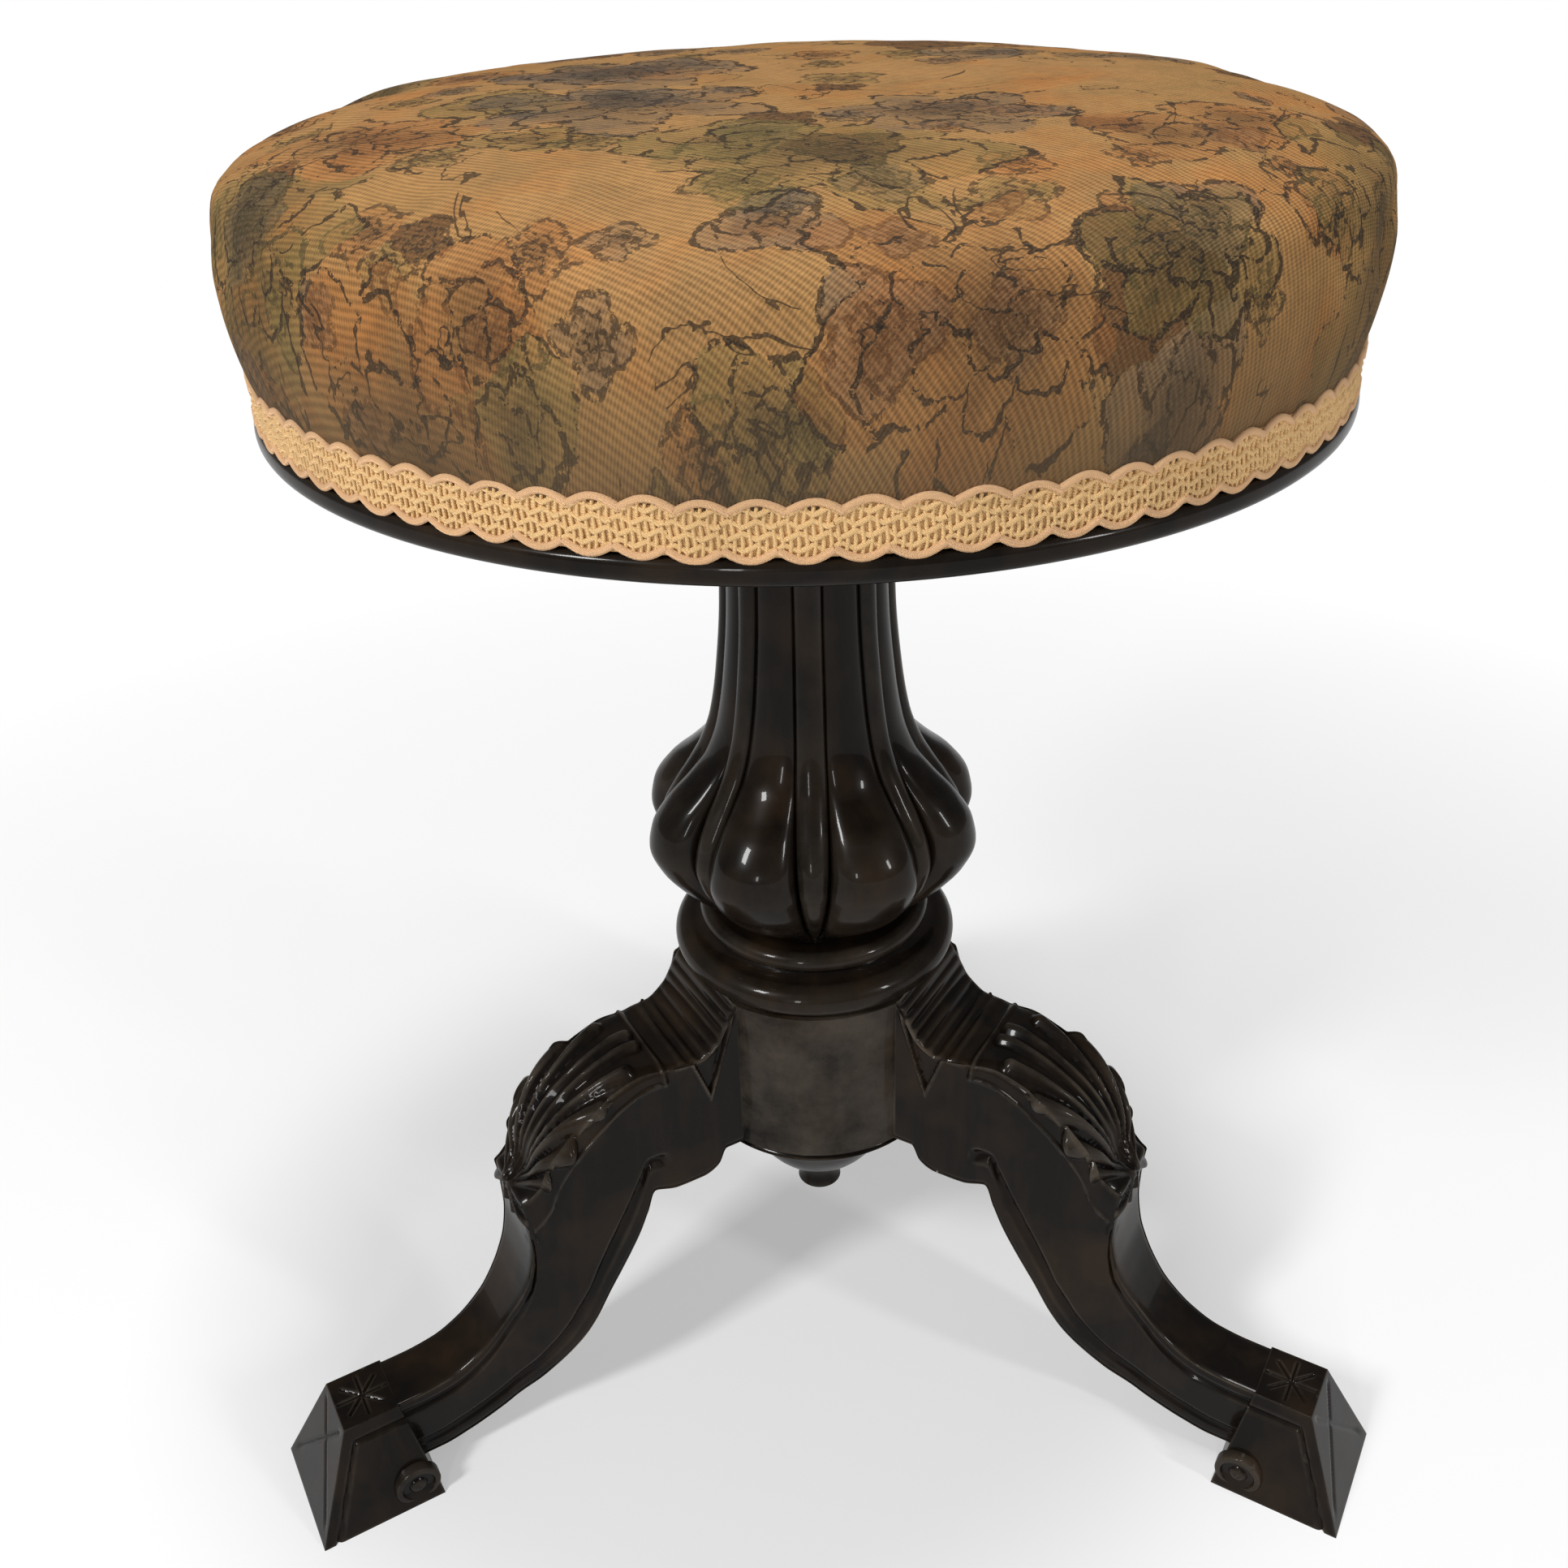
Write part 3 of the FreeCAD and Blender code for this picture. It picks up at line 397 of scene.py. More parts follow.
def flower_group():
    """Woven flowers on a cell grid: petals, broken outlines, shading towards the heart."""
    group, given, out = new_group("woven_flowers", [
        ("Place", "NodeSocketVector", None), ("Pitch", "NodeSocketFloat", 0.08),
        ("Petals", "NodeSocketFloat", 5.0), ("Share", "NodeSocketFloat", 0.6),
        ("Size", "NodeSocketFloat", 0.4), ("Outline", "NodeSocketFloat", 0.03)],
        [("Petal", "NodeSocketFloat"), ("Line", "NodeSocketFloat"), ("Depth", "NodeSocketFloat"),
         ("Tint", "NodeSocketFloat")])
    tree = Tree(group)
    scaled = tree.add("VectorMath", operation="SCALE", in_0=given.outputs[0])
    tree.feed(scaled.inputs["Scale"], tree.math("DIVIDE", 1.0, given.outputs[1]))
    place = scaled.outputs[0]
    for scale, amount in ((3.2, 0.26), (17.0, 0.07)):
        wobble = tree.add("TexNoise", in_Vector=scaled.outputs[0], in_Scale=scale, in_Detail=3.0)
        shift = tree.add("VectorMath", operation="SUBTRACT", in_0=wobble.outputs["Color"],
                         in_1=(0.5, 0.5, 0.5))
        shift = tree.add("VectorMath", operation="SCALE", in_0=shift.outputs[0])
        tree.feed(shift.inputs["Scale"], amount)
        place = tree.add("VectorMath", operation="ADD", in_0=place, in_1=shift.outputs[0]).outputs[0]
    cells = tree.add("TexVoronoi", voronoi_dimensions="2D", in_Vector=place, in_Scale=1.0,
                     in_Randomness=0.8)
    away = tree.add("VectorMath", operation="SUBTRACT", in_0=place, in_1=cells.outputs["Position"])
    parts = tree.add("SeparateXYZ", in_0=away.outputs[0])
    tint = tree.add("SeparateXYZ", in_0=cells.outputs["Color"])
    angle = tree.math("ARCTAN2", parts.outputs[1], parts.outputs[0])
    turn = tree.math("MULTIPLY_ADD", tint.outputs[0], 6.28, angle)
    distance = tree.math("SQRT", tree.math("ADD", tree.math("POWER", parts.outputs[0], 2.0),
                                           tree.math("POWER", parts.outputs[1], 2.0)))
    shown = tree.math("LESS_THAN", tint.outputs[2], given.outputs[3])
    size = tree.math("MULTIPLY", tree.math("MULTIPLY_ADD", tint.outputs[1], 0.5, 0.6), given.outputs[4])
    line = None
    for share, phase in ((1.0, 0.0), (0.72, 0.8), (0.46, 1.7), (0.22, 0.3)):
        lobes = tree.math("MULTIPLY", given.outputs[2], 0.5)
        wave = tree.math("MULTIPLY", tree.math("ADD", turn, phase), lobes)
        wave = tree.math("ABSOLUTE", tree.math("SINE", wave))
        reach = tree.math("MULTIPLY", tree.math("MULTIPLY_ADD", wave, 0.42, 0.58), tree.math(
            "MULTIPLY", size, share))
        inside = tree.math("SUBTRACT", reach, distance)
        if line is None:
            petal = tree.math("MULTIPLY", tree.math("GREATER_THAN", inside, 0.0), shown)
            depth = tree.math("DIVIDE", distance, reach, clamp=True)
        ring = tree.math("LESS_THAN", tree.math("ABSOLUTE", inside), tree.math(
            "MULTIPLY", given.outputs[5], 0.55 + 0.45 * share))
        line = ring if line is None else tree.math("MAXIMUM", line, ring)
    broken = tree.noise(scaled.outputs[0], 9.0, 4.0, 0.7)
    line = tree.math("MULTIPLY", line, tree.math("GREATER_THAN", broken, 0.47))
    tree.feed(out.inputs[0], petal)
    tree.feed(out.inputs[1], tree.math("MULTIPLY", line, shown))
    tree.feed(out.inputs[2], depth)
    tree.feed(out.inputs[3], tint.outputs[0])
    return group


def weave_group():
    """Ribbed weave: slanting ribs crossed by fine threads."""
    group, given, out = new_group("ribbed_weave", [
        ("Place", "NodeSocketVector", None), ("Pitch", "NodeSocketFloat", 0.0017)],
        [("Rib", "NodeSocketFloat"), ("Thread", "NodeSocketFloat")])
    tree = Tree(group)
    scaled = tree.add("VectorMath", operation="SCALE", in_0=given.outputs[0])
    tree.feed(scaled.inputs["Scale"], tree.math("DIVIDE", 6.2832, given.outputs[1]))
    parts = tree.add("SeparateXYZ", in_0=scaled.outputs[0])
    along, over = parts.outputs[0], parts.outputs[1]
    slant = tree.math("MULTIPLY_ADD", along, 0.62, tree.math("MULTIPLY", over, 0.78))
    cross = tree.math("MULTIPLY_ADD", along, -1.56, tree.math("MULTIPLY", over, 1.24))
    rib = tree.math("MULTIPLY_ADD", tree.math("SINE", slant), 0.5, 0.5)
    thread = tree.math("MULTIPLY_ADD", tree.math("SINE", cross), 0.5, 0.5)
    tree.feed(out.inputs[0], rib)
    tree.feed(out.inputs[1], thread)
    return group


# Materials

def new_material(name):
    """A material with its tree and its shader."""
    material = bpy.data.materials.new(name)
    material.use_nodes = True
    tree = Tree(material.node_tree)
    return material, tree, material.node_tree.nodes["Principled BSDF"]


def place_of(tree):
    """Place on the piece, in metres."""
    return tree.add("TexCoord").outputs["Object"]


def polished_wood(name, colours, groups, wear=0.6, stretch=(1.0, 1.0, 0.12), rough=0.2):
    """Ebonised and french polished wood, rubbed brown and grey where hands and feet reach."""
    material, tree, shader = new_material(name)
    place = place_of(tree)
    grain = tree.group(groups["grain"], Place=place, Fineness=95.0, Stretch=stretch)
    worn = tree.group(groups["wear"], Place=place, Amount=wear, Patches=38.0)
    brown = tree.span(grain[1], 0.46, 0.72, 0.0, 0.45)
    colour = tree.mix(brown, colours.wood[:], colours.worn_wood[:])
    colour = tree.mix(tree.span(grain[0], 0.45, 0.75, 0.0, 0.25), colour, colours.worn_wood[:])
    colour = tree.mix(worn[0], colour, colours.rubbed[:])
    colour = tree.mix(tree.math("MULTIPLY", worn[1], 0.7), colour, (0.004, 0.003, 0.003))
    tree.feed(shader.inputs["Base Color"], colour)
    roughness = tree.span(grain[1], 0.3, 0.75, rough, rough + 0.16)
    roughness = tree.math("MULTIPLY_ADD", worn[0], 0.22, roughness)
    tree.feed(shader.inputs["Roughness"], roughness)
    shader.inputs["Specular IOR Level"].default_value = 0.05
    shader.inputs["Coat Weight"].default_value = 0.15
    shader.inputs["Coat Roughness"].default_value = 0.05
    height = tree.math("MULTIPLY_ADD", grain[0], 0.25, grain[1])
    dents = tree.add("Bump", in_Strength=0.10, in_Distance=0.0012, in_Height=height)
    tree.feed(shader.inputs["Normal"], dents.outputs[0])
    return material


def bare_wood(groups):
    """Unstained beech of the dowels."""
    material, tree, shader = new_material("bare_beech")
    place = place_of(tree)
    grain = tree.group(groups["grain"], Place=place, Fineness=120.0)
    tree.feed(shader.inputs["Base Color"], tree.mix(grain[0], (0.42, 0.26, 0.13), (0.62, 0.44, 0.25)))
    tree.feed(shader.inputs["Roughness"], tree.span(grain[1], 0.3, 0.7, 0.5, 0.7))
    return material


def metal(name, colour, dark, rough, groups, metallic=1.0, scale=160.0):
    """Worn metal with darkened hollows."""
    material, tree, shader = new_material(name)
    place = place_of(tree)
    worn = tree.group(groups["wear"], Place=place, Amount=0.8, Patches=60.0)
    stains = tree.noise(place, scale, 5.0, 0.6)
    tint = tree.mix(tree.span(stains, 0.4, 0.7), colour, dark)
    tint = tree.mix(tree.math("MULTIPLY", worn[1], 0.8), tint, (0.01, 0.009, 0.008))
    tree.feed(shader.inputs["Base Color"], tree.mix(worn[0], tint, colour))
    shader.inputs["Metallic"].default_value = metallic
    tree.feed(shader.inputs["Roughness"], tree.span(stains, 0.3, 0.75, rough, rough + 0.22))
    dents = tree.add("Bump", in_Strength=0.25, in_Distance=0.0004, in_Height=stains)
    tree.feed(shader.inputs["Normal"], dents.outputs[0])
    return material


def tapestry(colours, sizes, groups):
    """Ribbed tapestry: flowers and leaves in rust, slate and olive on a golden tan ground."""
    material, tree, shader = new_material("floral_tapestry")
    place = tree.add("UVMap", uv_map="cloth").outputs[0]
    drift = tree.noise(place, 13.0, 3.0, 0.6)
    fade = tree.noise(place, 48.0, 5.0, 0.7)
    fuzz = tree.noise(place, 1100.0, 2.0, 0.7)
    pale = tuple(c * k for c, k in zip(colours.ground, (1.15, 1.12, 1.2)))
    shade = tuple(c * k for c, k in zip(colours.ground, (0.55, 0.62, 0.8)))
    warm = tuple(c * k for c, k in zip(colours.ground, (1.25, 0.82, 0.55)))
    colour = tree.mix(tree.span(drift, 0.32, 0.7), pale, colours.ground[:])
    colour = tree.mix(tree.span(tree.noise(place, 21.0, 3.0, 0.6), 0.5, 0.72, 0.0, 0.7), colour, warm)
    colour = tree.mix(tree.span(fade, 0.42, 0.75, 0.0, 0.55), colour, shade)
    # pitch, cover of the lines, petals, share of the cells, size, outline, shift and turn, strength
    layers = ((0.30, 0.7, 4.0, 0.6, 0.46, 0.034, (0.072, -0.041, 2.1), 0.5),
              (0.48, 0.8, 3.0, 0.7, 0.58, 0.022, (0.031, 0.017, 0.9), 0.6),
              (0.85, 0.85, 6.0, 0.7, 0.60, 0.015, (0.0, 0.0, 0.0), 0.5))
    for pitch, cover, petals, share, size, outline, (along, across, turn), strength in layers:
        moved = tree.add("Mapping", in_Vector=place, in_Location=(along, across, 0.0),
                         in_Rotation=(0.0, 0.0, turn)).outputs[0]
        form = tree.group(groups["flowers"], Place=moved, Pitch=sizes.flower_pitch * pitch,
                          Petals=petals, Share=share, Size=size, Outline=outline)
        tint = tree.mix(tree.math("GREATER_THAN", form[3], 0.30), colours.olive[:], colours.slate[:])
        tint = tree.mix(tree.math("GREATER_THAN", form[3], 0.60), tint, colours.rust[:])
        patchy = tree.math("MULTIPLY", form[0], tree.span(fade, 0.3, 0.62, strength * 0.35, strength))
        colour = tree.mix(patchy, colour, tint)
        heart = tree.math("MULTIPLY", form[0], tree.span(form[2], 0.75, 0.1, 0.0, 0.5))
        leafy = tree.math("MULTIPLY", tree.math("GREATER_THAN", form[3], 0.86), 0.6)
        heart = tree.math("MAXIMUM", heart, tree.math("MULTIPLY", form[0], leafy))
        colour = tree.mix(heart, colour, colours.ink[:])
        colour = tree.mix(tree.math("MULTIPLY", form[1], cover), colour, colours.ink[:])
    bends = tree.add("TexNoise", in_Vector=place, in_Scale=15.0, in_Detail=5.0, in_Roughness=0.55,
                     in_Distortion=0.9).outputs[0]
    stems = tree.math("LESS_THAN", tree.math("ABSOLUTE", tree.math("SUBTRACT", bends, 0.5)), 0.0045)
    stems = tree.math("MULTIPLY", stems, tree.math("GREATER_THAN", tree.noise(place, 30.0, 3.0), 0.5))
    colour = tree.mix(tree.math("MULTIPLY", stems, 0.8), colour, colours.ink[:])
    weave = tree.group(groups["weave"], Place=place, Pitch=sizes.rib_pitch)
    threads = tree.math("MULTIPLY_ADD", weave[1], 0.4, tree.math("MULTIPLY", weave[0], 0.6))
    uneven = tree.noise(place, 260.0, 2.0, 0.6)
    threads = tree.math("MULTIPLY_ADD", tree.math("SUBTRACT", uneven, 0.5), 0.7, threads)
    # Painted shade: darker brown where the ribs and threads of the weave lie low
    colour = tree.mix(tree.span(threads, 0.05, 0.85, 0.55, 0.0), colour, (0.045, 0.026, 0.014))
    colour = tree.mix(tree.span(fuzz, 0.52, 0.8, 0.0, 0.22), colour, (0.50, 0.36, 0.19))
    height = tree.add("SeparateXYZ", in_0=place_of(tree)).outputs[2]
    # Painted shade: the cushion's side darkens towards its foot, from 34 mm over the board down to the
    # braid
    painted_low_shade = tree.span(height, high("seat_board") + 34 * MM, high("gimp_braid") - 4 * MM, 0.0, 0.72)
    colour = tree.mix(painted_low_shade, colour, (0.085, 0.062, 0.038))
    tree.feed(shader.inputs["Base Color"], colour)
    tree.feed(shader.inputs["Roughness"], tree.span(fade, 0.3, 0.7, 0.8, 0.94))
    shader.inputs["Specular IOR Level"].default_value = 0.08
    relief = tree.math("MULTIPLY_ADD", fuzz, 0.35, threads)
    ribs = tree.add("Bump", in_Strength=0.6, in_Distance=0.0005, in_Height=relief)
    tree.feed(shader.inputs["Normal"], ribs.outputs[0])
    return material


def woven(name, light, dark, scale, rough=0.85, bump_depth=0.0006):
    """Twisted yarn or plain cloth."""
    material, tree, shader = new_material(name)
    place = place_of(tree)
    strands = tree.add("TexWave", in_Vector=place, in_Scale=scale, in_Distortion=3.0, in_Detail=2.0,
                       bands_direction="DIAGONAL").outputs[1]
    soil = tree.noise(place, 45.0, 4.0, 0.6)
    # Painted shade: the strands go over to the darker colour between the twists of the yarn
    colour = tree.mix(strands, dark, light)
    colour = tree.mix(tree.span(soil, 0.5, 0.8, 0.0, 0.45), colour, tuple(c * 0.62 for c in dark))
    tree.feed(shader.inputs["Base Color"], colour)
    tree.feed(shader.inputs["Roughness"], tree.span(soil, 0.3, 0.7, rough - 0.08, rough + 0.06))
    shader.inputs["Sheen Weight"].default_value = 0.1
    shader.inputs["Specular IOR Level"].default_value = 0.25
    yarn = tree.add("Bump", in_Strength=0.6, in_Distance=bump_depth, in_Height=strands)
    tree.feed(shader.inputs["Normal"], yarn.outputs[0])
    return material


def paint(piece, material):
    """Gives the whole piece one material."""
    piece.data.materials.clear()
    piece.data.materials.append(material)


def make_materials(context):
    """All finishes by name, from the groups and the chosen colours."""
    colours, sizes = context.scene.stool_colours, context.scene.stool_sizes
    groups = {"grain": grain_group(), "wear": wear_group(), "flowers": flower_group(),
              "weave": weave_group()}
    light, cord = colours.braid[:], colours.braid_cord[:]
    return {
        "ebonised_wood": polished_wood("ebonised_wood", colours, groups),
        "carved_wood": polished_wood("carved_wood", colours, groups, wear=0.9, rough=0.24),
        "rim_wood": polished_wood("rim_wood", colours, groups, wear=0.3, stretch=(1, 1, 1), rough=0.16),
        "raw_wood": bare_wood(groups),
        "nut_brass": metal("nut_brass", (0.52, 0.36, 0.14), (0.30, 0.20, 0.08), 0.32, groups),
        "screw_iron": metal("screw_iron", (0.22, 0.21, 0.20), (0.09, 0.075, 0.065), 0.34, groups),
        "flange_iron": metal("flange_iron", (0.045, 0.042, 0.040), (0.02, 0.018, 0.016), 0.42, groups,
                             metallic=0.55),
        "fixing_steel": metal("fixing_steel", (0.30, 0.29, 0.28), (0.14, 0.12, 0.10), 0.36, groups),
        "tapestry": tapestry(colours, sizes, groups),
        # The darker colours of braid and cord are shaded copies of their own, for the painted shade
        # between strands
        "braid": woven("gimp_braid", light, tuple(c * 0.8 for c in light), 900.0),
        "braid_cord": woven("gimp_cord", cord, tuple(c * 0.75 for c in cord), 1300.0),
        "calico": woven("calico", (0.70, 0.64, 0.52), (0.55, 0.49, 0.38), 1500.0, bump_depth=0.0002),
        "horsehair": woven("horsehair", (0.10, 0.075, 0.055), (0.03, 0.022, 0.016), 260.0,
                           bump_depth=0.002),
    }


MATERIALS = {}


# Column

def column_lines(height):
    """Crest of the lobes and of the reeds, valley and half a reed's width at a height."""
    z = [201, 205, 209, 214, 221, 229, 237, 245, 254, 262, 270, 282, 300, 325, 377]
    lobe = [33, 36.5, 41.5, 47.5, 54, 59.6, 62.4, 61, 55, 46.2, 39, 34.2, 31.2, 28.9, 27.2]
    reed = [33.2, 36, 39.6, 44.4, 49.4, 53.6, 55.6, 54, 49.4, 44.2, 39.6, 35.3, 32.3, 30, 28.5]
    valley = [32.3, 34, 37.2, 41.2, 45.2, 48.6, 49.8, 48.2, 44, 39.4, 35.6, 32, 29, 26.8, 25.6]
    half = [0.6, 1.1, 1.7, 2.4, 3.2, 4.1, 4.8, 5.2, 5.2, 5.0, 4.9, 4.6, 4.4, 4.2, 4.2]
    heights = np.asarray(height) / MM
    return tuple(flow(z, line, heights) * MM for line in (lobe, reed, valley, half))


def hand_spaced(around):
    """The carver's spacing: the lobes nearest the front stand a little wider than the rest."""
    turn = (around + math.pi) % (2 * math.pi) - math.pi
    even = np.radians([0, 22.5, 45, 67.5, 90, 112.5, 135, 157.5, 180])
    cut = np.radians([0, 24.6, 46, 65.8, 87, 108.5, 131, 155, 180])
    return np.sign(turn) * flow(even, cut, np.abs(turn))


def make_column(context):
    """The lobed baluster: a stack of rings whose points are then drawn into lobes and reeds."""
    sizes = context.scene.stool_sizes
    bottom, top = high("column_collar"), high("column")
    reed_points, lobe_points, rings = 10, 22, 96
    share = np.linspace(0, 1, rings)
    heights = bottom + (top - bottom) * (0.35 * share + 0.65 * share ** 2)
    sides = sizes.lobe_count * (reed_points + lobe_points)
    piece = turned("lobed_column", [(0.03, z) for z in heights], sides)
    spots = points(piece)
    order = np.argsort(np.round(spots[:, 2], 7), kind="stable")
    step = 2 * math.pi / sizes.lobe_count
    for ring, z in enumerate(heights):
        members = order[ring * sides:(ring + 1) * sides]
        angle = np.arctan2(spots[members, 0], -spots[members, 1]) % (2 * math.pi)
        index = np.round(angle / (2 * math.pi / sides)).astype(int) % sides
        lobe, reed, valley, half = (line.item() for line in column_lines([z]))
        reed_half = math.asin(min(half / valley, 0.95))
        unit, within = np.divmod(index + reed_points // 2, reed_points + lobe_points)
        on_reed = within < reed_points
        reed_turn = (within / reed_points - 0.5) * math.pi
        reed_angle = reed_half * np.sin(reed_turn)
        reed_radius = valley + (reed - valley) * np.cos(reed_turn)
        lobe_turn = (within - reed_points) / lobe_points * math.pi
        lobe_angle = step / 2 - (step / 2 - reed_half) * np.cos(lobe_turn)
        crest = lobe * sizes.lobe_radius / LOBE_CREST
        lobe_radius = valley + (crest - valley) * np.sin(lobe_turn).clip(0) ** 0.8
        around = hand_spaced(unit * step + np.where(on_reed, reed_angle, lobe_angle))
        radius = np.where(on_reed, reed_radius, lobe_radius)
        spots[members, 0] = radius * np.sin(around)
        spots[members, 1] = -radius * np.cos(around)
    set_points(piece, spots)
    cap_ends(piece, heights[0], heights[-1], inner=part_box("screw_nut")[1].x * 0.75)
    paint(piece, MATERIALS["ebonised_wood"])
    settle(piece, "base", "ebonised_wood", "column", angle=60)


def cap_ends(piece, bottom, top, inner):
    """Closes the lowest ring, and draws the highest one in to the bore's width and closes it."""
    activate(piece)
    mode("EDIT")
    for height, radius in ((bottom, 0.001), (top, inner)):
        bpy.ops.mesh.select_all(action="DESELECT")
        mesh = bmesh.from_edit_mesh(piece.data)
        for edge in mesh.edges:
            if edge.is_boundary and all(abs(v.co.z - height) < 1e-6 for v in edge.verts):
                edge.select = True
        mesh.select_flush_mode()
        bmesh.update_edit_mesh(piece.data)
        share = radius / (26 * MM)
        bpy.ops.mesh.extrude_edges_move(TRANSFORM_OT_translate={"value": (0, 0, 0)})
        bpy.ops.transform.resize(value=(share, share, 1), center_override=(0, 0, height))
        bpy.ops.mesh.edge_face_add()
    mode("OBJECT")


# Legs

# Pairs of a point on the leg's outer line and one on its inner line, as reach and height
LEG_PAIRS = [
    ((46.6, 181.0), (46.6, 114.2)), ((51.0, 174.0), (54.0, 114.2)), ((56.5, 165.0), (58.0, 107.5)),
    ((64.0, 161.0), (65.0, 103.2)), ((74.0, 161.4), (75.0, 102.2)), ((84.0, 162.6), (84.0, 105.0)),
    ((94.5, 159.8), (88.0, 96.0)), ((104.0, 155.0), (92.0, 87.0)), ((112.0, 149.6), (96.5, 79.0)),
    ((119.0, 142.3), (101.5, 71.0)), ((124.0, 134.5), (107.0, 62.5)), ((127.0, 126.5), (112.0, 54.0)),
    ((132.0, 121.3), (115.5, 48.5)), ((135.0, 119.0), (117.5, 45.5)), ((134.2, 112.0), (120.5, 41.5)),
    ((133.8, 97.0), (126.5, 35.0)), ((135.8, 83.0), (132.0, 29.6)), ((139.6, 73.5), (137.5, 25.0)),
    ((145.0, 65.0), (143.5, 21.0)), ((152.0, 56.5), (150.5, 17.2)), ((161.0, 49.0), (158.5, 14.2)),
    ((172.0, 44.0), (168.5, 11.4)), ((184.0, 42.4), (180.0, 9.5)), ((196.0, 42.2), (192.0, 9.5))]


def leg_half_width(reach):
    """Half the leg's width at a reach from the column, in millimetres."""
    return flow([40, 57, 68, 80, 112, 123, 136, 150, 260],
                [23, 23, 21.4, 20.5, 20.5, 18.6, 15, 12, 12], reach)


def leg_lines(count):
    """Outer and inner line of the leg, evenly spaced, in millimetres."""
    pairs = np.array(LEG_PAIRS)
    knots = np.arange(len(pairs))
    fine = np.linspace(0, len(pairs) - 1, 1200)
    lines = np.array([[flow(knots, pairs[:, side, axis], fine) for axis in (0, 1)] for side in (0, 1)])
    length = np.hypot(*np.diff(lines.mean(0), axis=1)) + 0.5 * np.hypot(*np.diff(lines[0], axis=1))
    travelled = np.concatenate([[0], np.cumsum(length)])
    even = np.interp(np.linspace(0, travelled[-1], count), travelled, fine)
    return [np.array([flow(knots, pairs[:, side, axis], even) for axis in (0, 1)]).T for side in (0, 1)]


def leaflets():
    """The leaf on the knee. Each leaflet has its root, its tip, how wide and how high it swells.
    Places are distance along the knee from the shoulder and distance from the middle line."""
    root = (80.0, 2.0)
    tips = [((7.0, 3.5), 3.4, 1.15), ((15.0, 14.0), 3.8, 1.3), ((30.0, 20.5), 5.0, 1.8),
            ((48.0, 23.5), 5.4, 1.9), ((64.0, 20.0), 4.2, 1.5), ((93.0, 4.5), 3.0, 1.0),
            ((89.0, 14.5), 3.2, 1.1)]
    for tip, half_width, height in tips:
        yield root, tip, half_width, height


def leaf_relief(along, across):
    """Height of the carved leaf over its ground."""
    height = np.zeros_like(along)
    for root, tip, half_width, lift in leaflets():
        bend = (tip[0] + 0.55 * (root[0] - tip[0]), tip[1] * 0.42 + 1.0)
        share = np.linspace(0, 1, 110)
        path_along, path_across = ((1 - share) ** 2 * root[axis] + 2 * share * (1 - share) * bend[axis]
                                   + share ** 2 * tip[axis] for axis in (0, 1))
        gap = np.hypot(along[:, None] - path_along, np.abs(across)[:, None] - path_across)
        nearest = gap.argmin(1)
        distance, place = gap[np.arange(len(along)), nearest], share[nearest]
        width = half_width * (0.26 + 0.74 * place ** 2)
        ridge = bump(distance, width) ** 0.55
        vein = 0.16 * bump(distance, 0.8) * (1 - place)
        height = np.maximum(height, (ridge - vein) * lift * (0.3 + 0.7 * place))
    return height


def leg_relief(reach, height, along, across, half, from_outer, from_inner, on_side):
    """How far the carving stands off the plain leg, in millimetres."""
    relief = np.zeros_like(reach)
    # knee panel with its rim, ground and leaf
    panel_edge = half + flow([-20, 0, 20, 45, 70, 84, 120], [6.5, 7, 9, 11, 12.5, 15, 15], along)
    lower_end = 92.0 - 0.4 * (np.abs(across) - half).clip(0)
    inside = step_up(along, 1.0, 1.0) * (1 - step_up(along, lower_end, 1.2))
    inside = inside * (1 - step_up(np.abs(across), panel_edge, 1.1))
    rim = np.maximum(bump(np.abs(across) - panel_edge + 1.4, 1.5), bump(along - 2.4, 1.5))
    ground = inside * (0.15 + 1.1 * rim)
    relief += ground + inside * 2.5 * leaf_relief(along, across) * (1 - 0.6 * rim)
    # shoulder: reeds across the slope, ending in a hollow three-cornered field at the side
    on_shoulder = 1 - step_up(along, -3.5, 1.0)
    reeds = 0.9 * np.abs(np.sin((along + 3) / 4.6 * math.pi))
    relief += on_shoulder * (1 - step_up(np.abs(across), half - 1.5, 2.0)) * reeds
    low_line = 143.5 + np.abs(reach - 59.5) * np.where(reach < 59.5, 3.2, 3.0)
    field = on_side * step_up(height, low_line, 1.5) * step_up(reach, 47.5, 1.0)
    border = on_side * bump(height - low_line + 0.5, 3.6) * step_up(178.0, height, 2.0)
    border = border * step_up(reach, 47.5, 1.0)
    relief += border * 1.3 - field * 1.2 * (1 - border)
    # beads and hollows along the shin's edges
    shin = step_up(along, 93.0, 4.0)
    relief -= 1.6 * bump(from_outer - 6.2, 2.8) * shin * on_side
    centre = flow([60, 84, 96, 112, 130, 150, 200], [15, 15, 13.5, 11.5, 9.0, 7.5, 6.5], reach)
    spread = flow([60, 84, 96, 112, 130, 150, 200], [3.0, 5.4, 5.6, 5.0, 4.2, 3.6, 3.0], reach)
    depth = flow([60, 80, 96, 112, 130, 150, 185, 200], [0.0, 2.6, 2.9, 2.4, 1.9, 1.6, 1.1, 0.0], reach)
    below = (1 - step_up(height, 121.0, 3.0)) * step_up(reach, 79.0, 5.0)
    relief -= depth * bump(from_inner - centre, spread) * on_side * below
    return relief


